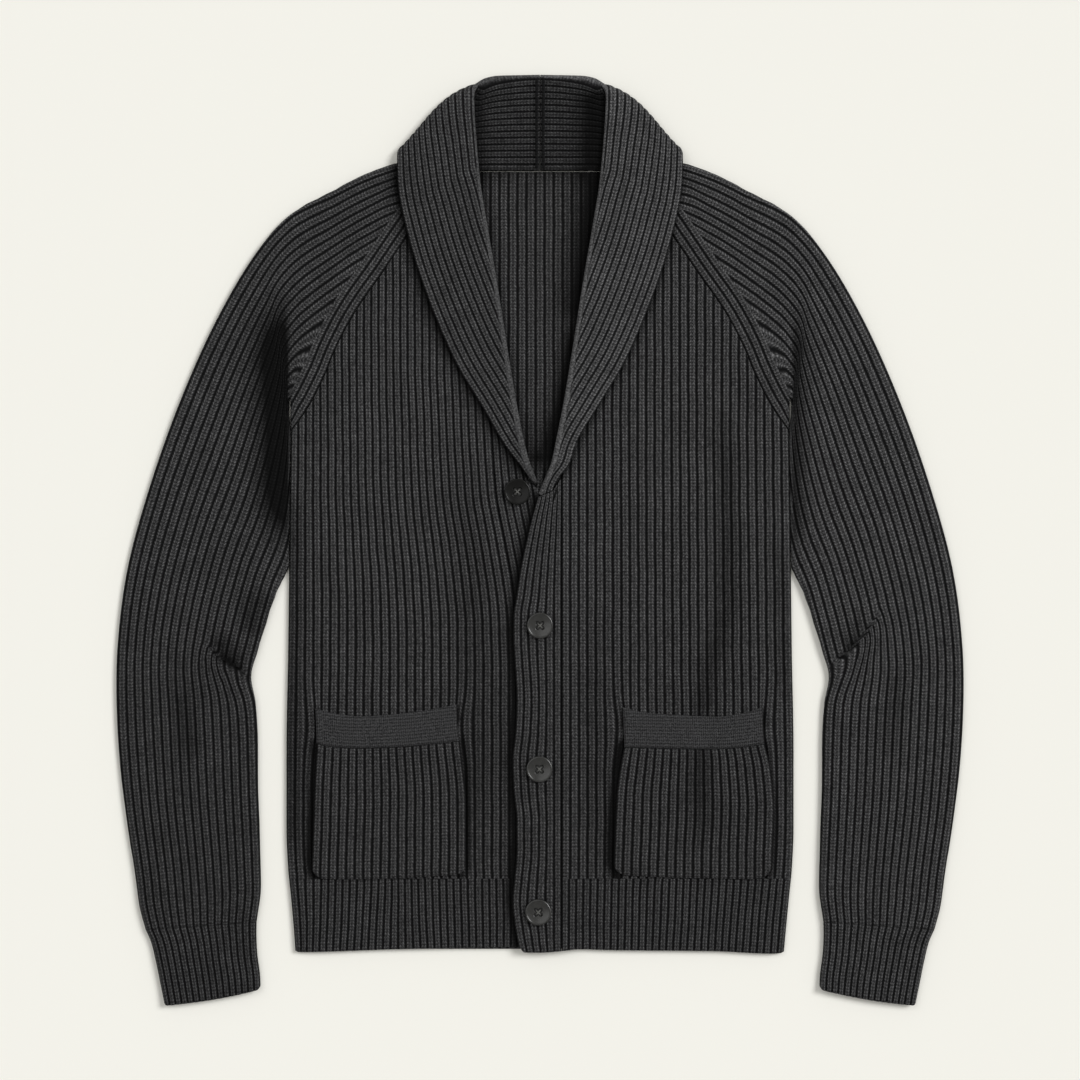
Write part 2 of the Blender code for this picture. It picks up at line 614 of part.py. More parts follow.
def lying_tube(plan, rib_count, lining_rows, hand):
    """Closed wall of a tube pressed flat: ribbed above, plain and flat below, open inside.

    The lining takes only some of the rows; its ends lie just inside the tube's own.
    """
    u, crest = rib_columns(rib_count)
    lower_u = np.array(LOWER_LAYER)
    rows, down_rib, seam_rib, puff = plan(u)
    lower, _, _, _ = plan(lower_u)
    whole = np.concatenate((rows, lower), axis=1)
    all_u = np.concatenate((u, lower_u))
    length = np.linalg.norm(np.diff(rows, axis=1), axis=2).sum(axis=1)[:, None]
    to_edge = np.minimum(all_u, 1 - all_u)[None, :] * length
    round_off = np.sqrt(1 - (1 - np.clip(to_edge / FOLD_RADIUS, 0, 1)) ** 2)
    middle = (FRONT_Z + WALL) / 2
    swell = PUFF * puff[:, None] * 4 * all_u * (1 - all_u)
    ribs = RIB * (down_rib[:, None] * np.append(crest, 0 * lower_u) + seam_rib[:, None])
    above = middle + (FRONT_Z + WALL + swell + ribs - middle) * round_off
    below = middle * (1 - round_off)
    is_above = np.arange(len(all_u)) < len(u)
    outer = np.concatenate((whole, np.where(is_above, above, below)[..., None]), axis=-1)

    inner_u = np.array(LINING_ROOF + LINING_FLOOR)
    over = len(LINING_ROOF)
    inset = LINING_INSET / length
    inner_rows = []
    for i in lining_rows:
        share = inset[i] + (1 - 2 * inset[i]) * inner_u
        inner_rows.append(plan(share)[0][i])
    inner_rows = np.array(inner_rows)
    inner_rows[-1, :, 1] -= LINING_LIP
    roof = FRONT_Z + PUFF * puff[lining_rows, None] * 4 * inner_u * (1 - inner_u)
    floor = np.full_like(roof, WALL)
    height = np.where(np.arange(len(inner_u)) < over, roof, floor)
    height[:, (0, over - 1)] = middle
    inner = np.concatenate((inner_rows, height[..., None]), axis=-1)
    outer_at = np.concatenate((0.5 * u, 1 - 0.5 * lower_u))
    inner_at = np.concatenate((0.5 * inner_u[:over], 1 - 0.5 * inner_u[over:]))
    if hand == "left":
        outer[..., 0] *= -1
        inner[..., 0] *= -1
    wall = tube_wall(outer, outer_at, inner, inner_at)
    if hand == "left":
        wall.faces = [face[::-1] for face in wall.faces]
    return wall


def sleeve_pieces():
    for hand in ("left", "right"):
        yield f"sleeve_{hand}", lying_tube(sleeve_plan, SLEEVE_RIBS, SLEEVE_LINING, hand)
        yield f"cuff_{hand}", lying_tube(cuff_plan, CUFF_RIBS, CUFF_LINING, hand)


# ---------------------------------------------------------------- shawl collar

def collar_lines(rows, stand_at, roll_at, fall_from_edge):
    """Middle surface of half a collar: (rows, columns, 3), from the neck seam to the free edge.

    The stand runs straight from the neck seam to the roll, the roll is a half circle that
    bulges away from both, and the fall runs straight from the roll to the free edge.
    """
    tab = table(COLLAR_COLUMNS, *rows)
    roll = np.stack((tab["roll_x"], tab["roll_y"], tab["roll_z"]), axis=-1)
    edge = np.stack((tab["edge_x"], tab["edge_y"], tab["edge_z"]), axis=-1)
    neck = np.stack((tab["neck_x"], tab["neck_y"], tab["neck_z"]), axis=-1)
    turn = np.radians(tab["turn"])[:, None]
    way = np.radians(tab["bulge"])
    bulge = np.stack((-np.cos(way), np.sin(way), 0 * way), axis=-1)
    beside = np.stack((-np.sin(way), -np.cos(way), 0 * way), axis=-1)
    upward = np.array((0.0, 0.0, 1.0))
    arm = (upward * np.cos(turn) + beside * np.sin(turn)) * tab["radius"][:, None]
    from_stand = roll + arm
    to_fall = roll - arm
    share = stand_at[None, :, None]
    stand = neck[:, None] + (from_stand - neck)[:, None] * share
    reach = np.linalg.norm(from_stand - neck, axis=1)[:, None]
    ramp = ease(stand_at[None, :] * reach / 9.0)
    stand[..., 2] = neck[:, 2, None] + (from_stand - neck)[:, 2, None] * ramp
    angle = roll_at[None, :, None] * np.pi
    bend = roll[:, None] + arm[:, None] * np.cos(angle)
    bend = bend + bulge[:, None] * tab["radius"][:, None, None] * np.sin(angle)
    width = np.linalg.norm(edge - to_fall, axis=1)[:, None]
    away = fall_from_edge(width)
    share = (1 - away / width)[..., None]
    fall = to_fall[:, None] + (edge - to_fall)[:, None] * share
    return np.concatenate((stand, bend, fall), axis=1), away, tab["turn"]


def surface_normals(points):
    """Unit normals of a grid of points, from its neighbours on each side."""
    across = np.gradient(points, axis=1)
    along = np.gradient(points, axis=0)
    normal = np.cross(along, across)
    return normal / np.linalg.norm(normal, axis=2, keepdims=True)


def rib_lines_from_edge(width):
    """Distances of the lapel's rib lines from its free edge, the nearest one last.

    Ribs run parallel to the free edge. Where the lapel narrows, the ones that find no room
    run out side by side along the roll.
    """
    number = np.arange(2 * LAPEL_RIBS, -1, -1)
    pitch = np.maximum(LAPEL_RIB_PITCH, width / LAPEL_RIBS) / 2
    return np.minimum(number * pitch, width - CROWDED * (2 * LAPEL_RIBS - number))


def plain_lines_from_edge(width):
    return width * np.linspace(1, 0, 6)[None, :]


def collar_half(hand):
    """Closed wall of half a shawl collar, ribbed on the face that shows."""
    rows = COLLAR_ROWS + (LEFT_TIP_ROWS if hand == "left" else RIGHT_TIP_ROWS)
    stand_u, stand_crest = rib_columns(STAND_RIBS)
    roll_u = np.linspace(0, 1, ROLL_STEPS + 1)[1:-1]
    middle, away, turn = collar_lines(rows, stand_u, roll_u, rib_lines_from_edge)
    spacing = np.abs(np.diff(away, axis=1))
    room = np.concatenate((spacing[:, :1], spacing), axis=1)
    lapel_crest = (np.arange(away.shape[1]) % 2.0)[None, :] * ease((room - 1.5) / 1.5)
    front = ease((turn - 60.0) / 80.0)[:, None]
    back = ease((30.0 - turn) / 20.0)[:, None]
    over_roll = np.repeat(0.35 * back, len(roll_u), axis=1)
    crest = np.concatenate((back * stand_crest, over_roll, front * lapel_crest), axis=1)
    normal = surface_normals(middle)
    outer = middle + normal * (WALL / 2 + RIB * crest[..., None])
    outer_u = np.concatenate((stand_u, 1 + roll_u, 2 + (1 - away[0] / away[0].max())))

    few = np.array((0.0, 0.1, 0.5, 1.0))
    plain, plain_away, _ = collar_lines(rows, few, roll_u, plain_lines_from_edge)
    inner = plain - surface_normals(plain) * WALL / 2
    inner_u = np.concatenate((few, 1 + roll_u, 2 + np.linspace(0, 1, 6)))
    v = np.linspace(0, 1, len(rows))
    if hand == "left":
        outer[..., 0] *= -1
        inner[..., 0] *= -1
    wall = sheet_wall(outer, outer_u, v, inner, inner_u, v)
    if hand == "right":
        wall.faces = [face[::-1] for face in wall.faces]
    return wall


# ---------------------------------------------------------------- buttons

def button_mesh():
    """Four-hole button: a lathe-turned disc with a raised rim and a dished middle."""
    profile = table("r z",
                    (BUTTON_RADIUS - 1.2, 0.0), (BUTTON_RADIUS, 1.2),
                    (BUTTON_RADIUS - 0.4, BUTTON_THICKNESS - 0.5),
                    (BUTTON_RADIUS - BUTTON_RIM / 2, BUTTON_THICKNESS),
                    (BUTTON_RADIUS - BUTTON_RIM, BUTTON_THICKNESS - BUTTON_DISH))
    angle = np.linspace(0, 2 * np.pi, BUTTON_SIDES, endpoint=False)
    radius = profile["r"][:, None]
    rings = np.stack((radius * np.cos(angle), radius * np.sin(angle),
                      profile["z"][:, None] + 0 * angle), axis=-1)
    wall = Wall()
    numbers = wall.grid(rings, closed=True)
    wall.faces.append(numbers[0][::-1].tolist())
    wall.faces.append(numbers[-1].tolist())
    return wall


def button_hole_cutter(name, parent):
    """The four sewing holes, as one hidden cutter made of four prisms."""
    wall = Wall()
    angle = np.linspace(0, 2 * np.pi, 6, endpoint=False)
    for quarter in range(4):
        place = np.pi / 4 + quarter * np.pi / 2
        x = BUTTON_HOLE_REACH * np.cos(place) + BUTTON_HOLE_RADIUS * np.cos(angle)
        y = BUTTON_HOLE_REACH * np.sin(place) + BUTTON_HOLE_RADIUS * np.sin(angle)
        ends = [np.stack((x, y, 0 * x + z), axis=-1) for z in (-1.0, BUTTON_THICKNESS + 1.0)]
        numbers = wall.grid(np.array(ends), closed=True)
        wall.faces.append(numbers[0][::-1].tolist())
        wall.faces.append(numbers[1].tolist())
    cutter = wall.make(name, material("cutter", BUTTON_GREY, 0.5), parent)
    cutter.hide_render = True
    cutter.display_type = 'WIRE'
    return cutter


def add_buttons(parent):
    """Four buttons: the undone one on the under band, three on the over band."""
    finish = material("button_plastic", BUTTON_GREY, 0.4)
    for i in range(len(BUTTONS["x"])):
        z = FRONT_Z + BUTTONS["over"][i] * BAND_STEP + WALL + RIB + SEAM
        place = (BUTTONS["x"][i] * MM, BUTTONS["y"][i] * MM, z * MM)
        button = button_mesh().make(f"button_{i + 1}", finish, parent)
        button.location = place
        cutter = button_hole_cutter(f"button_holes_{i + 1}", parent)
        cutter.location = place
        holes = button.modifiers.new("sewing_holes", 'BOOLEAN')
        holes.operation = 'DIFFERENCE'
        holes.object = cutter


def material(name, colour, roughness):
    finish = bpy.data.materials.new(name)
    finish.use_nodes = True
    shader = finish.node_tree.nodes["Principled BSDF"]
    shader.inputs["Base Color"].default_value = colour
    shader.inputs["Roughness"].default_value = roughness
    shader.inputs["Metallic"].default_value = 0.0
    finish.diffuse_color = colour
    return finish


def main():
    for thing in list(bpy.data.objects):
        bpy.data.objects.remove(thing, do_unlink=True)
    garment = bpy.data.objects.new("cardigan", None)
    bpy.context.collection.objects.link(garment)
    pieces = [back_pieces(), front_pieces(), band_pieces(), sleeve_pieces(), pocket_pieces()]
    for group in pieces:
        for name, wall in group:
            colour = CHARCOAL_LIGHT if name.startswith("pocket_band") else CHARCOAL
            wall.make(name, material(f"{name}_knit", colour, 0.95), garment)
    for hand in ("left", "right"):
        name = f"collar_{hand}"
        collar_half(hand).make(name, material(f"{name}_knit", CHARCOAL, 0.95), garment)
    add_buttons(garment)


main()
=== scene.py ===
"""Looks of a shawl collar cardigan in chunky charcoal rib knit, lying flat and face up.

Every knitted piece is worked out on a grid of rib lines and rows, in millimetres, on the plan of
the solid that it stands for, and becomes one closed mesh in metres. Two numbers go with every
point: `wale`, 0 in the middle of a rib and 1 at its foot, and `course`, which counts the rows of
stitches along the rib. The wool's material draws its stitches from them. A third, `shade`, is
painted shade that darkens the colour beside and under other pieces, in creases and towards the
hem; below 0 it is painted light. X runs across the body, the wearer's left at +X, Y from hem to
collar, Z up from the table.
"""

from __future__ import annotations

import logging
import math
from collections.abc import Callable
from dataclasses import dataclass, field
from enum import Enum
from functools import partial

import bpy
import numpy as np
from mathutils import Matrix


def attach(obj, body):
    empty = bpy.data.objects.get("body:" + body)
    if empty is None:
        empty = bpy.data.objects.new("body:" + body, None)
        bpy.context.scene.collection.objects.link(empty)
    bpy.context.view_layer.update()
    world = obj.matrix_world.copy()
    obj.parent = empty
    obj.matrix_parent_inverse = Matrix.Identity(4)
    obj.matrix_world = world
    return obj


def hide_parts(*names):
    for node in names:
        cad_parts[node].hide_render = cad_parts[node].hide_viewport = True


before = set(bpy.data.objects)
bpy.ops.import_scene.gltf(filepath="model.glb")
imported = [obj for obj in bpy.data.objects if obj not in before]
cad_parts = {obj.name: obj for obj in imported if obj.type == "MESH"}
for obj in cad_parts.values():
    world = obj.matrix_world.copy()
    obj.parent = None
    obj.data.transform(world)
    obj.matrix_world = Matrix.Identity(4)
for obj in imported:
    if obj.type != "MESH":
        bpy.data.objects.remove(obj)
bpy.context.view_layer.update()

LOG = logging.getLogger("cardigan")
MM = 0.001

Array = np.ndarray
Table = dict[str, Array]
Curve = Callable[[Array], Array]
Height = Callable[[Array, Array], Array]
Path = tuple[tuple[float, float], ...]
Step = tuple[float, float]    # where a smooth step starts, and how wide it is
Material, Tree = bpy.types.Material, bpy.types.NodeTree
Socket, Piece = bpy.types.NodeSocket, bpy.types.Object


# ---------------------------------------------------------------- tables and curves

def table(columns: str, *rows: tuple[float, ...]) -> Table:
    """Short table of sizes, one array for each named column.

    Args:
        columns: names of the columns, with spaces between them.
        rows: one tuple for each row.

    Returns:
        A dictionary from name to array.
    """
    values = np.array(rows, dtype=float)
    return {name: values[:, i] for i, name in enumerate(columns.split())}


def follow(tab: Table, at: Array | float, column: str | None = None) -> Array:
    """Reads a smooth curve through a table's column; it never overshoots.

    Between two rows the value is a cubic whose end slopes are the harmonic mean of the slopes on
    both sides, or zero where they differ in sign.

    Args:
        tab: the table; its first column rises from row to row.
        at: values of the first column.
        column: the column to read, by default the last one.

    Returns:
        The column's value at each of them.
    """
    first, *_, last = tab
    xs, ys = tab[first], tab[column or last]
    at = np.clip(np.asarray(at, dtype=float), xs[0], xs[-1])
    step = np.diff(xs)
    slope = np.diff(ys) / step
    tangent = np.concatenate(([slope[0]], np.zeros(len(xs) - 2), [slope[-1]]))
    before, after = slope[:-1], slope[1:]
    same = before * after > 0
    tangent[1:-1][same] = 2 * before[same] * after[same] / (before[same] + after[same])
    i = np.clip(np.searchsorted(xs, at, side="right") - 1, 0, len(xs) - 2)
    t = (at - xs[i]) / step[i]
    rise = ys[i] + (ys[i + 1] - ys[i]) * (3 - 2 * t) * t ** 2
    return rise + step[i] * t * (1 - t) * (tangent[i] * (1 - t) - tangent[i + 1] * t)


def smooth_rows(control: Array, control_at: Array, at: Array) -> Array:
    """Carries rows of points smoothly through a few control rows.

    Each column is a cubic curve through its control points, with the mean of the two
    neighbouring slopes as the slope at each one.

    Args:
        control: control rows, (rows, columns, k).
        control_at: where each control row lies along the piece.
        at: where the new rows lie.

    Returns:
        The new rows, (len(at), columns, k).
    """
    step = np.diff(control_at)
    slope = np.diff(control, axis=0) / step[:, None, None]
    tangent = np.concatenate((slope[:1], (slope[:-1] + slope[1:]) / 2, slope[-1:]))
    i = np.clip(np.searchsorted(control_at, at, side="right") - 1, 0, len(step) - 1)
    t = ((at - control_at[i]) / step[i])[:, None, None]
    wide = step[i][:, None, None]
    rise = control[i] + (control[i + 1] - control[i]) * (3 - 2 * t) * t ** 2
    return rise + wide * t * (1 - t) * (tangent[i] * (1 - t) - tangent[i + 1] * t)


def joined(control: Array, step: float) -> Array:
    """Rows about `step` apart, carried smoothly through a few control rows, (rows, columns, k)."""
    gap = np.linalg.norm(np.diff(control, axis=0), axis=2).mean(axis=1)
    at = np.concatenate(([0.0], np.cumsum(gap)))
    return smooth_rows(control, at, np.linspace(0, at[-1], round(at[-1] / step)))


def ease(t: Array | float) -> Array:
    """Smooth step: 0 below 0, 1 above 1."""
    t = np.clip(t, 0.0, 1.0)
    return t * t * (3 - 2 * t)


def rising(value: Array, start: Array | float, width: float) -> Array:
    """Smooth step: 0 up to `start`, 1 from `width` above it."""
    return ease((value - start) / width)


def falling(value: Array, start: Array | float, width: float) -> Array:
    """Smooth step: 0 from `start` up, 1 from `width` below it."""
    return ease((start - value) / width)


def hump(offset: Array, width: float) -> Array:
    """Bell curve: exp(-(offset / width) squared)."""
    return np.exp(-(offset / width) ** 2)


def bowed(height: float, t: Array) -> Array:
    """Bow that is 0 at 0 and at 1, and `height` halfway."""
    return height * 4 * t * (1 - t)


def constant(value: float) -> Curve:
    """Curve that has one value everywhere."""
    return lambda at: np.full_like(np.asarray(at, dtype=float), value)


def curve(tab: Table, offset: float = 0.0) -> Curve:
    """Curve through a table's last column, moved by an offset."""
    return lambda at: follow(tab, at) + offset


def on_line(at: Array, length: Array, line: Array) -> Array:
    """Points at distances along a line; `length` says how far along it its own points lie."""
    return np.stack([np.interp(at, length, line[:, i]) for i in (0, 1)], axis=-1)


def wander(x: Array, y: Array, size: float, seed: float) -> Array:
    """Slow uneven rise and fall between about -1 and 1: a sum of four waves in odd directions.

    Args:
        x, y: places, in mm.
        size: length of the longest wave, in mm.
        seed: moves the waves along, so that two pieces differ.
    """
    k = 2 * np.pi / size
    total = np.sin(k * (x + 0.31 * y) + 1.7 * seed)
    total = total + np.sin(k * 1.37 * (0.42 * x - y) + 2.9 * seed + 1.1)
    total = total + 0.7 * np.sin(k * 1.93 * (0.9 * x + 0.66 * y) + 0.6 * seed + 4.0)
    return (total + 0.5 * np.sin(k * 2.71 * (0.2 * x + y) + 5.3 * seed)) / 3.0


# ---------------------------------------------------------------- sizes shared with the solids

WALL = 1.9                    # knit in the valleys
RIB = 1.8                     # a rib stands this far above them
SEAM = 0.3
JOIN = 0.1                    # where ribs run on from one piece into the next
FRONT_Z = 4.1                 # underside of the fronts, over the back
BAND_STEP = 4.1               # how much higher the overlapping band lies
STEP_FROM = 3.0               # this far beside the under band it starts to come down
STEP_RUN = 20.0               # and over this width
HEM_TOP = -311.0
BACK_HEM_BOTTOM = -376.0
SIDE_Z = 2.5                  # underside of the fronts at the side seams
SIDE_FALL = 14.0              # width over which they come down to it
OVER_BAND_SEAM_X = 19.5
FRONT_SOFT = 0.35             # unevenness of the fronts as they lie
SOFT_SIZE = 150.0             # and how long its waves are
FOLDS_IN = (18.0, 16.0)       # the fronts' folds set in beyond the button bands
FOLDS_OUT = 30.0              # and fade over this width at the sides
COURSE = 3.0                  # one row of stitches along a rib

SIDE = table("y x",
             (-380, 224.0), (-358, 226.0), (-322, 229.5), (-303, 231.4), (-266, 233.0),
             (-193, 233.0), (-100, 231.4), (-20, 230.5), (100, 228.8))
RAGLAN = table("x y",
               (91.0, 323), (106.0, 302), (125.6, 273.7), (144.9, 245.2), (169.3, 210.2),
               (187.2, 176.6), (197.3, 152.3), (213.0, 121.9), (228.8, 99.8))
FRONT_NECK = table("x y",
                   (0, 45.5), (4, 48.5), (8, 52), (16.5, 65), (24, 82), (31, 101),
                   (40, 125.5), (53, 169), (66, 225), (73, 258), (77, 281), (80, 299),
                   (91, 323))
BACK_NECK = table("x y", (0, 338.6), (55, 338.6), (70, 336.5), (80, 332), (91, 323))
UNDER_SEAM = table("y x",
                   (-380, -20.5), (-120, -21.0), (-78, -22.0), (-40, -26.0), (0, -33.0),
                   (44, -41.0), (120, -46.0), (160, -48.0))
UNDER_EDGE = table("y x",
                   (-380, 20.5), (-78, 20.5), (-40, 16.0), (0, 8.5), (44, 0.0), (70, -4.0),
                   (120, -12.0), (160, -18.0))
OVER_EDGE = table("y x",
                  (-379, -18.0), (-366, -21.0), (-348, -23.9), (-331, -25.3), (-312, -23.8),
                  (-285, -21.6), (-258, -21.6), (-228, -24.4), (-202, -25.3), (-175, -22.6),
                  (-147, -21.6), (-110, -23.4), (-90, -24.5), (-70, -24.4), (-51, -21.6),
                  (-27, -17.9), (13, -9.2), (40, -1.8))
OVER_TOP = table("x y", (-4, 38.7), (3, 41.2), (12, 45.6), (16, 51.3), (20, 57.3))
OVER_BOTTOM = table("x y", (-25, -371), (-19, -374), (-14, -378.5), (0, -378.6), (20, -377.2))
HEM_BOTTOM = table("x y",
                   (-226, -373.5), (-224.4, -377.0), (-221, -378.6), (-125, -375.8),
                   (-30, -374.0), (20, -377.0), (33, -375.8), (64, -376.7), (159, -377.7),
                   (214, -380.0), (221, -379.6), (224.6, -377.6), (226, -374.0))


class Hand(Enum):
    """Which half of the garment, as seen from the front; the value is the sign of X."""

    LEFT = -1
    RIGHT = 1

    @property
    def label(self) -> str:
        """The hand as it stands in the nodes' names."""
        return self.name.lower()

    def place(self, *grids: Array) -> None:
        """Mirrors grids of points that were worked out for the right half."""
        for grid in grids:
            grid[..., 0] *= self.value


# ---------------------------------------------------------------- folds, and bands of painted shade

def beside_path(path: Path, x: Array, y: Array) -> tuple[Array, Array, Array, Array]:
    """Measures places from a path of straight lines.

    Args:
        path: the path's corners.
        x, y: the places.

    Returns:
        How far along the path each corner lies and, for each place, its distance from the path,
        how far along it the nearest point lies, and how far below it the place is.
    """
    points = np.array(path)
    lengths = np.linalg.norm(np.diff(points, axis=0), axis=1)
    start = np.concatenate(([0.0], np.cumsum(lengths)))
    nearest = np.full(x.shape, np.inf)
    along, below = np.zeros(x.shape), np.zeros(x.shape)
    for a, b, before, length in zip(points[:-1], points[1:], start, lengths):
        way = (b - a) / length
        t = np.clip((x - a[0]) * way[0] + (y - a[1]) * way[1], 0, length)
        far = np.hypot(x - a[0] - way[0] * t, y - a[1] - way[1] * t)
        closer = far < nearest
        nearest = np.where(closer, far, nearest)
        along = np.where(closer, before + t, along)
        below = np.where(closer, (x - a[0]) * way[1] - (y - a[1]) * way[0], below)
    return start, nearest, along, below


@dataclass(frozen=True)
class Fold:
    """Soft ridge or trough along a path: a bell across the path that fades at both ends.

    Its height at a point is `lift` times exp(-(distance to the path / width) squared), times a
    smooth fade over the first and last `fade` of the path's length. Many of them are bands of
    painted shade instead: then `lift` is how much they darken the colour.
    """

    path: Path
    lift: float
    width: float
    fade: float = 0.3

    def height(self, x: Array, y: Array) -> Array:
        """Height that the fold adds at each place, in mm, or the painted shade of a shade band."""
        start, nearest, along, _ = beside_path(self.path, x, y)
        share = along / start[-1]
        ends = ease(share / self.fade) * ease((1 - share) / self.fade)
        return self.lift * hump(nearest, self.width) * ends


# Painted shadow that the lapels cast on the fronts, sleeves, raglan ribs and under band.
PAINTED_LAPEL_SHADOW = (
    Fold(((-131, 352), (-128, 322), (-120, 280), (-103, 222), (-84, 178), (-67, 148), (-47, 114),
          (-34, 93), (-20, 70), (0, 50)), 0.85, 9.0, 0.04),
    Fold(((131, 352), (128, 322), (120, 280), (103, 222), (84, 178), (67, 148), (47, 114),
          (36, 90), (27, 70), (16, 52)), 0.55, 5.0, 0.04),
)
# Painted shadow beside the over band's edge, on the left front and the under band.
PAINTED_BAND_SHADOW = (
    Fold(((0, 48), (-9, 14), (-19, -30), (-25, -80), (-21.6, -147), (-25.3, -202),
          (-21.6, -270), (-25.3, -331), (-19, -379)), 0.9, 6.5, 0.02),
)
# Painted shade inside the back neck and on the stand: all over, in the shadow of either lapel,
# along the neck seam and at the foot of the V.
PAINTED_NECK_SHADE = (
    Fold(((0, 430), (0, 330), (0, 100)), 0.13, 200.0, 0.02),
    Fold(((58, 420), (57, 350), (50, 300), (42, 240), (35, 195)), 0.85, 20.0, 0.08),
    Fold(((37, 205), (31, 175), (23, 130), (13, 90), (4, 55)), 0.9, 12.0, 0.08),
    Fold(((-58, 420), (-57, 350), (-51, 300), (-43, 240), (-34, 183), (-24, 130), (-4, 60)),
         0.4, 8.0, 0.02),
    Fold(((-60, 338), (60, 338)), 0.4, 3.0, 0.02),
    Fold(((0, 120), (0, 40)), 0.3, 16.0, 0.5),
)
# Painted shade on the sleeves: beside the body's side, along the elbow's crease and in the
# forearm's trough.
PAINTED_SLEEVE_SHADE = {
    Hand.LEFT: (
        Fold(((240, 240), (237, 190), (234, 150), (231, 100), (231, 40), (231, -25)),
             1.35, 25.0, 0.3),
        Fold(((264, -95), (262, -60), (254, -40)), 0.35, 14.0, 0.3),
        Fold(((262, -131), (267.8, -126.8), (274.5, -120.2), (283.5, -113.5), (292.8, -107.6),
              (301.8, -99)), 0.5, 3.2, 0.4),
        Fold(((272, -118), (288, -104), (298, -84)), 0.45, 11.0, 0.3),
        Fold(((330, -120), (325, -170), (318, -215)), 0.28, 11.0, 0.3),
    ),
    Hand.RIGHT: (
        Fold(((236, 225), (232, 160), (231, 100), (231, 40), (231, -25)), 0.85, 12.0, 0.2),
        Fold(((262, -118), (270.5, -111.5), (277.8, -104.4), (289, -92.6), (301, -79.5)),
             0.5, 3.2, 0.4),
        Fold(((274, -102), (288, -86), (300, -62)), 0.35, 9.0, 0.3),
        Fold(((330, -110), (325, -160), (318, -205)), 0.22, 11.0, 0.3),
    ),
}
# Painted shadow in the buttonhole's slit, which is not cut in the band.
BUTTONHOLE_SHADE = (Fold(((15.6, 48.4), (14.9, 45.0), (13.4, 40.0), (12.0, 35.4)), 1.4, 0.9, 0.1),)
# Painted shadow along the pockets' sides and bottoms, and beside the ends of their bands.
PAINTED_POCKET_SHADOW = {
    Hand.LEFT: (
        Fold(((-206, -180), (-208, -227), (-210, -276), (-211, -299), (-207, -309), (-199, -312),
              (-150, -312)), 0.85, 4.5, 0.04),
        Fold(((-72, -178), (-68, -210), (-66.5, -243), (-66, -299), (-70, -307), (-80, -310)),
             0.6, 3.0, 0.05),
        Fold(((-76.5, -150), (-75.5, -172)), 0.6, 3.0, 0.2),
        Fold(((-205.5, -152), (-204.6, -175)), 0.6, 3.0, 0.2),
    ),
    Hand.RIGHT: (
        Fold(((76, -180), (73, -201), (68.5, -232), (66, -272), (65.5, -296), (69, -306),
              (78, -310)), 0.9, 5.5, 0.04),
        Fold(((206, -180), (211, -209), (215, -248), (214, -288), (211, -307), (200, -312)),
             0.55, 3.0, 0.05),
        Fold(((75.6, -152), (76.8, -175)), 0.6, 3.0, 0.2),
        Fold(((204.6, -152), (206, -175)), 0.6, 3.0, 0.2),
    ),
}
LEFT_TROUGH = (-60, -290), (-58, -150), (-66, 0), (-78, 110)     # beside the button bands
RIGHT_TROUGH = (46, -300), (48, -180), (44, -60)
# Painted shade in the troughs and along the sides of the fronts, also on their hems and pockets.
PAINTED_TROUGH_SHADE = {
    Hand.LEFT: (
        Fold(((-224, 60), (-228, 0), (-231, -100), (-230, -200), (-226, -300)), 0.35, 12.0, 0.1),
        Fold(LEFT_TROUGH, 0.2, 20.0, 0.2),
    ),
    Hand.RIGHT: (
        Fold(((166, 140), (172, 40), (172, -60), (150, -140), (147, -200), (147, -300)),
             0.38, 11.0, 0.15),
        Fold(RIGHT_TROUGH, 0.15, 12.0, 0.2),
        Fold(((214, 20), (222, -60), (226, -160)), 0.2, 8.0, 0.2),
    ),
}


def folds_height_and_shade(folds: tuple[Fold, ...], x: Array, y: Array) -> Array:
    """Sum of the heights of several folds, or of the painted shade of several shade bands."""
    return sum((fold.height(x, y) for fold in folds), np.zeros(x.shape))


# ---------------------------------------------------------------- ribs and knitted faces

HALF_RIB = (1.06, 0.93, 0.7, 0.38)   # wale numbers of the lines on one side of a rib
EDGE_ROWS = (0.0, 0.08, 0.25, 0.5, 1.0)   # where rows lie on a rounded edge


@dataclass(frozen=True)
class RibForm:
    """Cross-section of a rib.

    `fill` is the rib's share of its pitch; what is left is the floor of the valley. The rib is a
    rounded cord: its height is (1 - wale ** 2.4) ** 0.6, where wale runs from 0 in its middle to
    1 at its foot.
    """

    fill: float = 0.62
    height: float = RIB
    roundness: tuple[float, float] = (2.4, 0.6)   # the two powers

    def places(self) -> tuple[Array, Array]:
        """Shares of the pitch where a rib has points, and the wale number of each."""
        half = np.array(HALF_RIB)
        wale = np.concatenate(((1.0 / self.fill,), half, (0.0,), half[::-1]))
        side = np.sign(np.arange(len(wale)) - len(half) - 1)
        return 0.5 + 0.5 * side * wale * self.fill, wale

    def lines(self, count: int) -> tuple[Array, Array]:
        """Lines of points of several ribs side by side, from valley to valley.

        Args:
            count: number of ribs.

        Returns:
            Places in ribs, from 0 to count, and the wale number of each line.
        """
        share, wale = self.places()
        places = (np.arange(count)[:, None] + share[None, :]).ravel()
        return np.append(places, count), np.append(np.tile(wale, count), wale[0])

    def rise(self, wale: Array) -> Array:
        """Height of the rib's surface over the valley."""
        inside = np.clip(1 - np.clip(wale, 0, 1) ** self.roundness[0], 0, 1)
        return self.height * inside ** self.roundness[1]


LINES_A_RIB = 10
HALVINGS = 24                 # steps towards the place where a rib line meets an end
DEEPEST = 0.96                # deepest painted shade
COLLAR_SHADE = 0.11           # painted shade at the collar's height
HEM_SHADE = 0.19              # and how much more painted shade there is at the hem
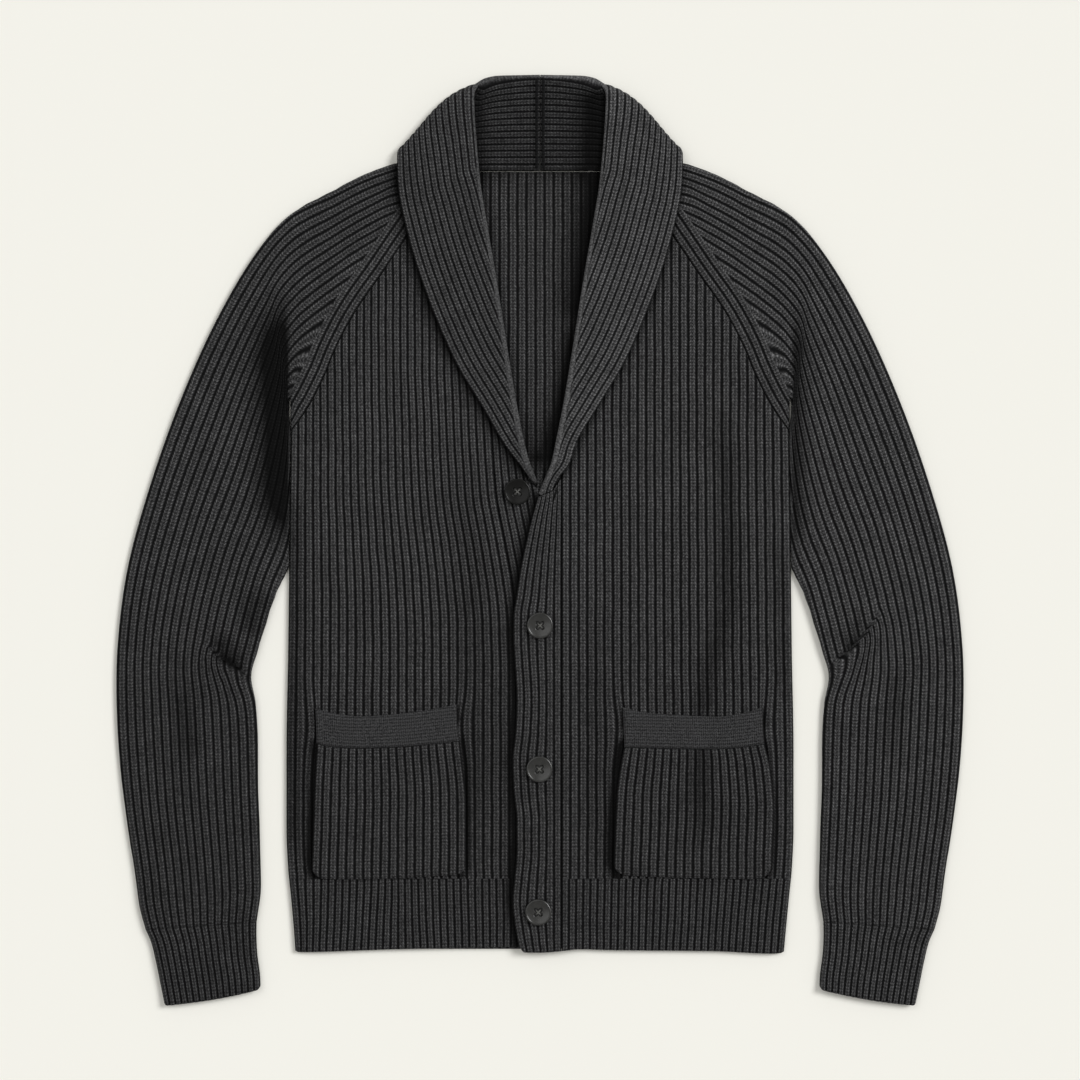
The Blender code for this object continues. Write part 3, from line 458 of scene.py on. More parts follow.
# The painted shade grows from this height downwards over this length.
SHADE_FROM, SHADE_FALL = 120.0, 420.0
INSIDE_SHADE = 0.6            # painted shade on inner faces, which face the layer below
INSIDE_WALE = 0.6             # and their place across a rib, where the knit is even
BODY_RIB = RibForm(fill=0.82)
COLLAR_RIB = RibForm(fill=0.86, height=1.7)
SLEEVE_RIB = RibForm(fill=0.84)
HEM_RIB = RibForm(fill=0.80, height=1.6)
NECK_RIB = RibForm(fill=0.84, height=1.2)
PLAIN = RibForm(fill=0.9, height=0.0)


@dataclass
class KnitFace:
    """One face of knitted cloth on a grid of rows and rib lines, with its stitch numbers."""

    points: Array                # (rows, columns, 3), mm
    ribs: Array                  # (rows, columns), ribs counted across
    wale: Array                  # (rows, columns)
    course: Array                # (rows, columns)
    shade: Array | float = 0.0   # painted shade, 0 to 1; below 0, painted light
    plain: Array | float = 0.0   # 1 where the stitches are drawn flat and don't show


def bare_face(points: Array, shade: Array | float = 0.0) -> KnitFace:
    """Face that has no stitches."""
    zeros = np.zeros(points.shape[:2])
    return KnitFace(points, zeros, zeros, zeros, shade)


def courses_along(points: Array) -> Array:
    """Rows of stitches counted along each rib from the first row of points.

    A rib's own count is taken along its middle line. Beside it the count moves on by how far the
    point lies ahead of the middle one, so that stitches cross the rib squarely even where the
    grid's rows don't.

    Args:
        points: (rows, columns, 3), ten columns to a rib and then the last valley.
    """
    columns = points.shape[1]
    middle = np.minimum(np.arange(columns) // LINES_A_RIB * LINES_A_RIB + LINES_A_RIB // 2,
                        columns - 1)
    step = np.linalg.norm(np.diff(points, axis=0), axis=2)
    length = np.concatenate((np.zeros((1, columns)), np.cumsum(step, axis=0)))
    way = np.gradient(points, axis=0)
    way = way / np.maximum(np.linalg.norm(way, axis=2, keepdims=True), 1e-9)
    ahead = np.sum((points - points[:, middle]) * way[:, middle], axis=2)
    return (length[:, middle] + ahead) / COURSE


def end_rows(inner: Array, reach: float, length: float) -> Array:
    """Row places from 0 to 1, with more of them near both ends, where the edge is rounded."""
    near = np.array(EDGE_ROWS) * reach / length
    return np.concatenate((near[:-1], near[-1] + inner * (1 - 2 * near[-1]), 1 - near[-2::-1]))


def rounded(distance: Array, radius: float) -> Array:
    """Quarter-round profile: 0 at an edge, 1 at a radius from it and beyond."""
    return np.sqrt(1 - (1 - np.clip(distance / radius, 0, 1)) ** 2)


def surface_normals(points: Array) -> Array:
    """Unit normals of a grid of points: the cross product of its two directions."""
    normal = np.cross(np.gradient(points, axis=0), np.gradient(points, axis=1))
    return normal / np.maximum(np.linalg.norm(normal, axis=2, keepdims=True), 1e-9)


class MeshMaker:
    """Gathers grids of points into one closed mesh."""

    def __init__(self) -> None:
        """Starts empty."""
        self.points: list[Array] = []
        self.values: list[Array] = []
        self.quads: list[Array] = []
        self.count = 0

    def grid(self, face: KnitFace, around: bool = False, flip: bool = False) -> Array:
        """Adds a face's points and quads.

        Args:
            face: the grid.
            around: the last column meets the first.
            flip: the quads are turned round.

        Returns:
            The number of each point, (rows, columns).
        """
        rows, columns, _ = face.points.shape
        numbers = self.count + np.arange(rows * columns).reshape(rows, columns)
        self.points.append(face.points.reshape(-1, 3))
        shade, plain = (np.broadcast_to(v, face.wale.shape) for v in (face.shade, face.plain))
        self.values.append(np.stack((face.ribs, face.wale, face.course, shade, plain),
                                    -1).reshape(-1, 5))
        self.count += rows * columns
        ring = np.concatenate((numbers, numbers[:, :1]), axis=1) if around else numbers
        self.strip(ring[:-1], ring[1:], flip)
        return numbers

    def strip(self, low: Array, high: Array, flip: bool = False) -> None:
        """Adds quads between two equal sets of rows of point numbers."""
        low, high = np.atleast_2d(low), np.atleast_2d(high)
        quads = np.stack((low[:, :-1], low[:, 1:], high[:, 1:], high[:, :-1]), axis=-1)
        quads = quads.reshape(-1, 4)
        self.quads.append(quads[:, ::-1] if flip else quads)

    def make(self, name: str, finish: Material, mirrored: bool = False) -> Piece:
        """Makes the object, in metres, with stitch numbers and painted shade as attributes.

        Args:
            name: the object's name.
            finish: its material.
            mirrored: every face is turned round, for a piece made for the other hand.

        Returns:
            The object, at the origin.
        """
        points = np.concatenate(self.points) * MM
        quads = np.concatenate(self.quads)
        if mirrored:
            quads = quads[:, ::-1]
        mesh = bpy.data.meshes.new(name)
        mesh.vertices.add(len(points))
        mesh.vertices.foreach_set("co", points.astype(np.float32).ravel())
        mesh.loops.add(quads.size)
        mesh.loops.foreach_set("vertex_index", quads.astype(np.int32).ravel())
        mesh.polygons.add(len(quads))
        mesh.polygons.foreach_set("loop_start", np.arange(0, quads.size, 4, dtype=np.int32))
        mesh.update(calc_edges=True)
        values = np.concatenate(self.values).astype(np.float32)
        for i, label in ((1, "wale"), (2, "course"), (3, "shade"), (4, "plain")):
            layer = mesh.attributes.new(label, 'FLOAT', 'POINT')
            layer.data.foreach_set("value", np.ascontiguousarray(values[:, i]))
        uv = mesh.uv_layers.new(name="knit")
        uv.data.foreach_set("uv", values[:, (0, 2)][quads.ravel()].ravel())
        mesh.validate()
        mesh.polygons.foreach_set("use_smooth", np.full(len(mesh.polygons), True))
        mesh.materials.append(finish)
        piece = bpy.data.objects.new(name, mesh)
        bpy.context.scene.collection.objects.link(piece)
        return piece


def sheet_object(name: str, face: KnitFace, inner: Array, finish: Material,
                 mirrored: bool = False) -> Piece:
    """Closed piece of cloth from its outer face and the points of its inner face.

    Args:
        name: the object's name.
        face: the outer face.
        inner: the inner face's points, on the same grid.
        finish: the material.
        mirrored: the grid runs the other way round, as on the left half.

    Returns:
        The object.
    """
    maker = MeshMaker()
    top = maker.grid(face)
    low = maker.grid(KnitFace(inner, face.ribs, np.full_like(face.wale, INSIDE_WALE), face.course,
                              INSIDE_SHADE), flip=True)
    for a, b in ((low[0], top[0]), (top[-1], low[-1]), (top[:, 0], low[:, 0]),
                 (low[:, -1], top[:, -1])):
        maker.strip(a, b)
    return maker.make(name, finish, mirrored)


# ---------------------------------------------------------------- materials

def linear(hex_colour: str) -> tuple[float, float, float, float]:
    """Linear colour, with alpha 1, of an sRGB hex value such as '#4a4a4b'."""
    parts = [int(hex_colour[i:i + 2], 16) / 255 for i in (1, 3, 5)]
    low = [p / 12.92 if p <= 0.04045 else ((p + 0.055) / 1.055) ** 2.4 for p in parts]
    return (low[0], low[1], low[2], 1.0)


def add_node(tree: Tree, kind: str, settings: dict | None = None,
             inputs: dict | None = None) -> bpy.types.Node:
    """Adds a node with its settings and its inputs.

    Args:
        tree: the material's node tree.
        kind: the node's type name.
        settings: attributes to set.
        inputs: from an input's name or number to a value, or to an output socket to link.

    Returns:
        The node.
    """
    node = tree.nodes.new(kind)
    for name, value in (settings or {}).items():
        setattr(node, name, value)
    for name, value in (inputs or {}).items():
        if isinstance(value, Socket):
            tree.links.new(value, node.inputs[name])
        else:
            node.inputs[name].default_value = value
    return node


def maths(tree: Tree, operation: str, *values: object, clamp: bool = False) -> Socket:
    """Result of a Math node on numbers or sockets."""
    return add_node(tree, 'ShaderNodeMath', {"operation": operation, "use_clamp": clamp},
                    dict(enumerate(values))).outputs[0]


def attribute(tree: Tree, label: str) -> Socket:
    """Number that the mesh carries at each point."""
    return add_node(tree, 'ShaderNodeAttribute', {"attribute_name": label}).outputs["Fac"]


def noise(tree: Tree, size_mm: float, **inputs: float) -> Socket:
    """Noise in the object's own space, with figures of a size."""
    place = add_node(tree, 'ShaderNodeTexCoord').outputs["Object"]
    return add_node(tree, 'ShaderNodeTexNoise', None, {
        "Vector": place, "Scale": 1 / (size_mm * MM), **inputs}).outputs["Fac"]


def mix(tree: Tree, share: Socket, low: str | Socket, high: str | Socket) -> Socket:
    """Colour between two, each a hex value or a socket."""
    low, high = (linear(end) if isinstance(end, str) else end for end in (low, high))
    return add_node(tree, 'ShaderNodeMix', {"data_type": 'RGBA'},
                    {"Factor": share, 6: low, 7: high}).outputs[2]


def dimmed(tree: Tree, colour: Socket, value: Socket) -> Socket:
    """Colour times a value."""
    return add_node(tree, 'ShaderNodeHueSaturation', None,
                    {"Color": colour, "Value": value}).outputs["Color"]


def blank_material(name: str) -> tuple[Material, Tree]:
    """New material with an empty node tree."""
    material = bpy.data.materials.new(name)
    material.use_nodes = True
    material.node_tree.nodes.clear()
    return material, material.node_tree


def surface(tree: Tree, colour: Socket | tuple, relief: tuple[float, float, Socket] | None,
            **inputs: object) -> None:
    """Adds the shader and its output.

    Args:
        tree: the material's node tree.
        colour: the base colour.
        relief: strength, depth in mm and height of the bump, or None for none.
        inputs: the shader's other sockets, with _ for a space in their names.
    """
    sockets = {"Base Color": colour} | {key.replace("_", " "): v for key, v in inputs.items()}
    if relief is not None:
        strength, depth, height = relief
        bump = add_node(tree, 'ShaderNodeBump', None, {
            "Strength": strength, "Distance": depth * MM, "Height": height})
        sockets["Normal"] = bump.outputs["Normal"]
    shader = add_node(tree, 'ShaderNodeBsdfPrincipled', None, sockets)
    add_node(tree, 'ShaderNodeOutputMaterial', None, {"Surface": shader.outputs["BSDF"]})


WOOL = {"Roughness": 0.92, "IOR": 1.5, "Specular_IOR_Level": 0.12, "Sheen_Weight": 0.06,
        "Sheen_Roughness": 0.5, "Sheen_Tint": linear("#a8a8aa")}


@dataclass(frozen=True)
class RibKnitWool:
    """Wool-blend yarn, heathered charcoal, machine knitted in a half-fisherman rib.

    Each rib is one column of deep stitches that shows as two rows of small plump loops with a
    shallow groove between them; the floor between ribs is purl in deep shade. The colours carry
    painted light on the loops' tops and painted shade in the groove, the holes and the floor.
    Short fibres stand off it and catch light at a slant, which the sheen gives.
    """

    name: str = "wool_rib_knit"
    loop: str = "#808081"          # top of a loop, in painted light
    yarn: str = "#121213"          # between the loops, in painted shade
    valley: str = "#0a0a0b"        # floor between two ribs, in painted shade
    leg_wale: float = 0.56         # where the two rows of loops lie across a rib
    leg_width: float = 0.25
    core_width: float = 0.28       # the groove between them, where the holes of the loops show
    slant: float = 0.9             # how far a loop leans, in courses across half a rib
    ragged: float = 0.46           # how unevenly the rib's sides run
    relief_mm: float = 0.8
    fibre_mm: float = 1.5
    tuft_mm: float = 2.6
    patch_mm: float = 18.0
    valley_shade_from: float = 0.88      # the floor's painted shade sets in here, in wales
    valley_shade_to: float = 1.2
    # Pairs to multiply with and to add.
    loop_light_swing: tuple[float, float] = (0.34, 0.56)    # painted light on the loops along a row
    hole_shade_swing: tuple[float, float] = (-0.2, 0.19)    # and painted shade in the groove between two rows
    fleck: tuple[float, float] = (4.0, -1.5)          # contrast of single fibres
    fleck_share: tuple[float, float] = (0.8, 0.3)     # how much of a stitch they light
    patch_share: tuple[float, float] = (0.6, 0.7)     # uneven dye over large patches
    fuzz: float = 0.45                                # the fibres' share of the relief

    def material(self) -> Material:
        """Builds the material."""
        material, tree = blank_material(self.name)
        m = partial(maths, tree)

        def bell(value: Socket, width: float) -> Socket:
            """Bell curve: exp(-(value / width) squared)."""
            share = m('DIVIDE', value, width)
            return m('EXPONENT', m('MULTIPLY', m('MULTIPLY', share, share), -1.0))

        wale, course, shade, plain = (attribute(tree, label)
                                      for label in ("wale", "course", "shade", "plain"))
        fibres, tufts, patches = (noise(tree, size, Detail=2.0, Roughness=0.6)
                                  for size in (self.fibre_mm, self.tuft_mm, self.patch_mm))
        across = m('ADD', wale, m('MULTIPLY', m('SUBTRACT', tufts, 0.5), self.ragged))
        lean = m('MULTIPLY_ADD', wale, self.slant, course)
        wave = m('MULTIPLY', m('COSINE', m('MULTIPLY', lean, 2 * math.pi)),
                 m('SUBTRACT', 1.0, plain))
        leg = bell(m('SUBTRACT', across, self.leg_wale), self.leg_width)
        core = bell(across, self.core_width)
        # Painted light on the loops' tops and painted shade in the groove; `stitch` also raises
        # the bump.
        loops = m('MULTIPLY', leg, m('MULTIPLY_ADD', wave, *self.loop_light_swing))
        holes = m('MULTIPLY', core, m('MULTIPLY_ADD', wave, *self.hole_shade_swing))
        stitch = m('ADD', loops, holes)
        speck = m('MULTIPLY_ADD', fibres, *self.fleck, clamp=True)
        lit = m('MULTIPLY', stitch, m('MULTIPLY_ADD', speck, *self.fleck_share), clamp=True)
        # Share of the floor's painted shade, from the rib's foot outwards.
        valley_shade_share = add_node(tree, 'ShaderNodeMapRange', {"interpolation_type": 'SMOOTHSTEP'},
                           {"Value": across, "From Min": self.valley_shade_from,
                            "From Max": self.valley_shade_to}).outputs[0]
        shaded = mix(tree, valley_shade_share, mix(tree, lit, self.yarn, self.loop), self.valley)
        # Uneven dye, darkened by the painted shade of the `shade` attribute.
        dye_and_shade = m('MULTIPLY', m('MULTIPLY_ADD', patches, *self.patch_share),
                 m('MULTIPLY_ADD', shade, -1.0, 1.0))
        raised = m('MULTIPLY_ADD', fibres, self.fuzz, stitch)
        surface(tree, dimmed(tree, shaded, dye_and_shade), (0.9, self.relief_mm, raised), **WOOL)
        return material


@dataclass(frozen=True)
class JerseyWool:
    """The same yarn in plain knit, turned on its side: fine even rows along the pocket's mouth.

    The rows run across the band, so they are drawn from the course in the `knit` UV map, and the
    stitches within a row from its rib count. Their relief is painted into the colour too: painted
    light on the tops and painted shade between them, with the fibres' own flecks.
    """

    name: str = "wool_jersey_knit"
    # Colours of the rows' painted light and painted shade.
    high: str = "#4a4a4b"
    low: str = "#101011"
    stitches_a_rib: float = 3.0
    swing: float = 0.05            # of the relief over a row and over a stitch
    contrast: tuple[float, float] = (3.8, -1.5)
    relief_mm: float = 0.35
    fibre_mm: float = 0.8

    def material(self) -> Material:
        """Builds the material."""
        material, tree = blank_material(self.name)
        m = partial(maths, tree)
        uv = add_node(tree, 'ShaderNodeUVMap', {"uv_map": "knit"}).outputs["UV"]
        split = add_node(tree, 'ShaderNodeSeparateXYZ', None, {"Vector": uv})
        fibres = noise(tree, self.fibre_mm, Detail=3.0, Roughness=0.7)
        rows, stitches = (m('SINE', m('MULTIPLY', split.outputs[axis], 2 * math.pi * often))
                          for axis, often in (("Y", 1.0), ("X", self.stitches_a_rib)))
        raised = m('MULTIPLY_ADD', rows, self.swing,
                   m('MULTIPLY_ADD', stitches, self.swing, fibres))
        lit = m('MULTIPLY_ADD', raised, *self.contrast, clamp=True)
        surface(tree, mix(tree, lit, self.low, self.high), (0.8, self.relief_mm, raised), **WOOL)
        return material


@dataclass(frozen=True)
class ButtonPlastic:
    """Polyester resin, cast in rod, turned and tumbled: near-black with a faint cloudy figure.

    Tumbling leaves a satin surface, so highlights are broad and soft.
    """

    name: str = "button_resin"
    deep: str = "#161615"
    cloud: str = "#2e2e2c"
    figure_mm: float = 5.0
    grain_mm: float = 0.5
    satin: tuple[float, float] = (0.12, 0.2)   # roughness, by the grain

    def material(self) -> Material:
        """Builds the material."""
        material, tree = blank_material(self.name)
        m = partial(maths, tree)
        grain = noise(tree, self.grain_mm)
        figure = noise(tree, self.figure_mm, Detail=4.0, Distortion=1.2)
        # The `shade` attribute is painted shade: it darkens the holes and the top button and dims
        # their reflection.
        unshaded = m('SUBTRACT', 1.0, attribute(tree, "shade"), clamp=True)
        colour = dimmed(tree, mix(tree, figure, self.deep, self.cloud), unshaded)
        surface(tree, colour, (0.25, 0.05, grain), IOR=1.54,
                Roughness=m('MULTIPLY_ADD', grain, *self.satin),
                Specular_IOR_Level=m('MULTIPLY', unshaded, 0.5))
        return material


@dataclass(frozen=True)
class SewingThread:
    """Spun polyester thread, twisted in plies, in a grey a little lighter than the knit."""

    name: str = "sewing_thread"
    colour: str = "#72726e"
    # Painted shade in the grooves between the plies.
    shade: str = "#3a3a38"
    ply_mm: float = 0.6

    def material(self) -> Material:
        """Builds the material."""
        material, tree = blank_material(self.name)
        place = add_node(tree, 'ShaderNodeTexCoord').outputs["Object"]
        plies = add_node(tree, 'ShaderNodeTexWave', {"bands_direction": 'DIAGONAL'},
                         {"Vector": place, "Scale": 0.3 / (self.ply_mm * MM),
                          "Distortion": 1.0}).outputs["Fac"]
        surface(tree, mix(tree, plies, self.shade, self.colour), (0.6, 0.1, plies),
                Roughness=0.7, IOR=1.5, Sheen_Weight=0.1)
        return material


@dataclass(frozen=True)
class FloorPaint:
    """Matt emulsion on a smooth board, warm off-white: it has no figure at this distance."""

    name: str = "floor_paint"
    colour: str = "#f3f2eb"

    def material(self) -> Material:
        """Builds the material."""
        material, tree = blank_material(self.name)
        surface(tree, linear(self.colour), None, Roughness=0.9, Specular_IOR_Level=0.1)
        return material


@dataclass
class Finishes:
    """The materials, each made once."""

    rib: Material = field(default_factory=RibKnitWool().material)
    jersey: Material = field(default_factory=JerseyWool().material)
    resin: Material = field(default_factory=ButtonPlastic().material)
    thread: Material = field(default_factory=SewingThread().material)
    floor: Material = field(default_factory=FloorPaint().material)


def settle(piece: Piece, node: str, flat: tuple[float, float] | None = None,
           area: float | None = None, rests_on: tuple[str, ...] = (),
           slot: str = "rib_knit") -> None:
    """Fastens a piece to the frame; the CAD node that it stands for is hidden.

    Args:
        piece: the new object.
        node: the CAD node that it stands for.
        flat: width and length of the cut, in metres, or None for what isn't cloth; not used.
        area: flat area of the cut in square metres, where it isn't a rectangle; not used.
        rests_on: the nodes that it lies on; not used.
        slot: the record's material slot; not used.
    """
    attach(piece, "root")
    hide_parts(node)
    LOG.info("%s: %d faces", piece.name, len(piece.data.polygons))


# ---------------------------------------------------------------- flat panels

def room_share(x: Array, pitch: float) -> Array:
    """How fully a rib can stand: 1 at its own pitch, 0 where rib lines crowd together."""
    column, half = np.arange(x.shape[1]), LINES_A_RIB // 2
    far, near = np.minimum(column + half, x.shape[1] - 1), np.maximum(column - half, 0)
    width = np.abs(x[:, far] - x[:, near]) * LINES_A_RIB / (far - near)
    return rising(width / pitch, 0.25, 0.4)


def shade_at(shades: tuple[Fold, ...], x: Array, y: Array) -> Array:
    """Painted shade on the knit: its shade bands, and more of it from the collar down to the hem.
    """
    slow = COLLAR_SHADE + HEM_SHADE * falling(y, SHADE_FROM, SHADE_FALL)
    return np.clip(slow + folds_height_and_shade(shades, x, y), 0, DEEPEST)


@dataclass
class Panel:
    """Ribbed panel between two side curves and two end curves.

    A rib line keeps its share of the width at every height, and ends where it meets the end
    curves. The outer face is the underside, plus the wall, plus the rib's profile; at the edges
    it is rounded down towards the underside.
    """

    left: Curve
    right: Curve
    bottom: Curve
    top: Curve
    count: int
    underside: Height
    form: RibForm = BODY_RIB
    row_step: float = 8.0
    wall: float = WALL
    edge_radius: float = 2.4
    rib_share: Height | None = None
    pull: Callable[[Array, Array], tuple[Array, Array]] | None = None
    wobble: float = 0.35
    seed: float = 0.0
    edge_share: float = 0.35              # the wall left at a rounded edge
    wander_size: float = 90.0
    steady: float = 12.0                  # the lines wander less than this far from the sides
    kept: tuple[int, int] | None = None   # ribs at the left and right that keep their pitch
    kept_pitch: float = 6.8
    open_ends: tuple[bool, bool] = (False, False)   # bottom and top: another piece goes on there
    # Bands of painted shade on the panel.
    shades: tuple[Fold, ...] = ()

    def plan(self, u: Array, v: Array) -> tuple[Array, Array]:
        """Plan of the panel: x and y, (rows, columns), for shares u across and v along."""
        low = self.column_end(self.bottom, u)
        high = self.column_end(self.top, u)
        y = low[None, :] + (high - low)[None, :] * v[:, None]
        return self.across(y, u[None, :]), y

    def across(self, y: Array, u: Array) -> Array:
        """Place of each rib line at a height; the middle ribs share what the kept ones leave."""
        left, right = self.left(y), self.right(y)
        if self.kept is None:
            return left + (right - left) * u
        first, last = self.kept
        number = self.count * u
        pitch = np.minimum(self.kept_pitch, (right - left) / self.count)
        between = (right - left - pitch * (first + last)) / (self.count - first - last)
        return left + pitch * np.minimum(number, first) + between * np.clip(
            number - first, 0, self.count - first - last) + pitch * np.maximum(
                number - self.count + last, 0)

    def column_end(self, end: Curve, u: Array) -> Array:
        """Height where each rib line meets an end curve, by a few halving steps."""
        y = np.full_like(u, float(end(np.array([0.0]))[0]))
        for _ in range(HALVINGS):
            y = 0.5 * y + 0.5 * end(self.across(y, u))
        return y

    def build(self) -> tuple[KnitFace, Array]:
        """Works out the outer face and the inner face's points."""
        lines, wale = self.form.lines(self.count)
        u = lines / self.count
        half = np.array([0.5])
        length = float((self.column_end(self.top, half) - self.column_end(self.bottom, half))[0])
        inner_rows = np.linspace(0, 1, max(4, round(length / self.row_step)))
        v = end_rows(inner_rows, self.edge_radius, length)
        x, y = self.plan(u, v)
        width = self.right(y[:, 0]) - self.left(y[:, 0])
        to_side = np.minimum(u, 1 - u)[None, :] * width[:, None]
        ends = [np.where(is_open, 1.0, far) for is_open, far in zip(self.open_ends, (v, 1 - v))]
        to_end = np.minimum(*ends)[:, None] * np.maximum((y[-1] - y[0])[None, :], 1.0)
        round_off = rounded(to_side, self.edge_radius) * rounded(to_end, self.edge_radius)
        wander_x = self.wobble * wander(x, y, self.wander_size, self.seed)
        x = x + wander_x * ease(to_side / self.steady)
        if self.pull is not None:
            x, y = self.pull(x, y)
        wales = np.broadcast_to(wale, x.shape).copy()
        share = np.ones_like(x) if self.rib_share is None else self.rib_share(x, y)
        if self.kept is not None:
            room = room_share(x, self.kept_pitch)
            share = share * room
            wales = 0.5 + (wales - 0.5) * room
        under = self.underside(x, y)
        full = self.wall + share * self.form.rise(wales)
        edge = self.edge_share * self.wall
        outer = np.stack((x, y, under + edge + (full - edge) * round_off), axis=-1)
        face = KnitFace(outer, np.broadcast_to(lines, x.shape), wales, courses_along(outer),
                        shade_at(self.shades, x, y))
        return face, np.stack((x, y, under), axis=-1)

    def piece(self, node: str, finish: Material, *cut: object, **more: object) -> None:
        """Builds the panel, makes its object and settles it; `cut` and `more` are settle's own."""
        settle(sheet_object(f"{node}_knit", *self.build(), finish), node, *cut, **more)


def side_x(y: Array) -> Array:
    """Half width of the body at a height."""
    return follow(SIDE, y)


def side_fall(x: Array, y: Array) -> Array:
    """How far a front comes down towards its side seam."""
    return (FRONT_Z - SIDE_Z) * (1 - falling(np.abs(x), side_x(y), SIDE_FALL))


def over_step(x: Array, y: Array) -> Array:
    """How much higher the cloth lies over the under band, and just beside it."""
    beyond = x - follow(UNDER_EDGE, y) - STEP_FROM
    return BAND_STEP * (1 - ease(beyond / STEP_RUN))


FRONT_FOLDS = (
    Fold(((193, -290), (196, -180), (193, -60), (188, 60)), 1.6, 24),
    Fold(((143, -300), (139, -200), (150, -60), (168, 60), (166, 130)), 1.3, 20),
    Fold(((170, -330), (158, -230), (147, -145), (172, -60), (172, 120)), -1.4, 12),
    Fold(((-150, -290), (-152, -100), (-146, 60), (-138, 150)), 1.0, 40),
    Fold(((80, -150), (84, -40), (78, 80)), 1.0, 24),
    Fold(LEFT_TROUGH, -0.8, 26),
    Fold(RIGHT_TROUGH, -0.7, 14),
    Fold(((-205, -60), (-198, 20), (-186, 80)), -0.9, 14),
    Fold(((206, -40), (200, 30), (190, 90)), -0.9, 14),
)


def front_underside(x: Array, y: Array) -> Array:
    """Height of the underside of either front."""
    step = np.where(x > 0, over_step(x, y), 0.0)
    inside = falling(np.abs(x), side_x(y), FOLDS_OUT) * rising(np.abs(x), *FOLDS_IN)
    soft = FRONT_SOFT * wander(x, y, SOFT_SIZE, 1.3) + FRONT_SOFT
    folds = (folds_height_and_shade(FRONT_FOLDS, x, y) + soft) * inside
    return FRONT_Z + step + folds - side_fall(x, y)


def front_surface(x: Array, y: Array) -> Array:
    """Height just clear of a front's ribs, for what is sewn onto it."""
    return front_underside(x, y) + WALL + RIB + SEAM


def front_top(x: Array) -> Array:
    """Upper edge of a front or, on the outside of the neck, its raglan seam."""
    across = np.abs(x)
    neck = follow(FRONT_NECK, across)
    return np.where(across < RAGLAN["x"][0], neck, follow(RAGLAN, across))


@dataclass
class Back:
    """Back panel, ribbed inside the neck where it shows, and the back's hem."""

    finishes: Finishes
    neck_pitch: float = 8.56
    hem_ribs: int = 60
    neck_side: Step = (84.0, 6.0)   # the ribs stand up as far as this from the middle
    neck_foot: Step = (10.0, 20.0)  # and down to this height
    under_clearance: float = 1.3

    def top(self, x: Array) -> Array:
        """Neck and raglan seams."""
        across = np.abs(x)
        neck = follow(BACK_NECK, across)
        raglan = follow(RAGLAN, across) - self.under_clearance
        return np.where(across < RAGLAN["x"][0], neck, raglan)

    def build(self) -> None:
        """Builds both pieces."""
        pitch_count = round(2 * SIDE["x"].max() / self.neck_pitch)
        count = pitch_count + 1 - pitch_count % 2
        sides = (lambda y: -side_x(y)), side_x

        def in_the_neck(x: Array, y: Array) -> Array:
            """How far the ribs stand up: they do inside the neck only."""
            return rising(y, *self.neck_foot) * falling(np.abs(x), *self.neck_side)

        def flat(x: Array, y: Array) -> Array:
            """Nothing: the table, and no rib."""
            return np.zeros_like(x)

        Panel(*sides, constant(HEM_TOP + SEAM), self.top, count, flat, form=NECK_RIB,
              row_step=15.0, rib_share=in_the_neck, seed=3.0, shades=PAINTED_NECK_SHADE).piece(
                  "back_panel", self.finishes.rib, (0.50, 0.66), 0.27)
        Panel(*sides, constant(BACK_HEM_BOTTOM), constant(HEM_TOP), self.hem_ribs, flat,
              form=HEM_RIB, row_step=9.0, rib_share=flat).piece(
                  "back_hem", self.finishes.rib, (0.47, 0.066))


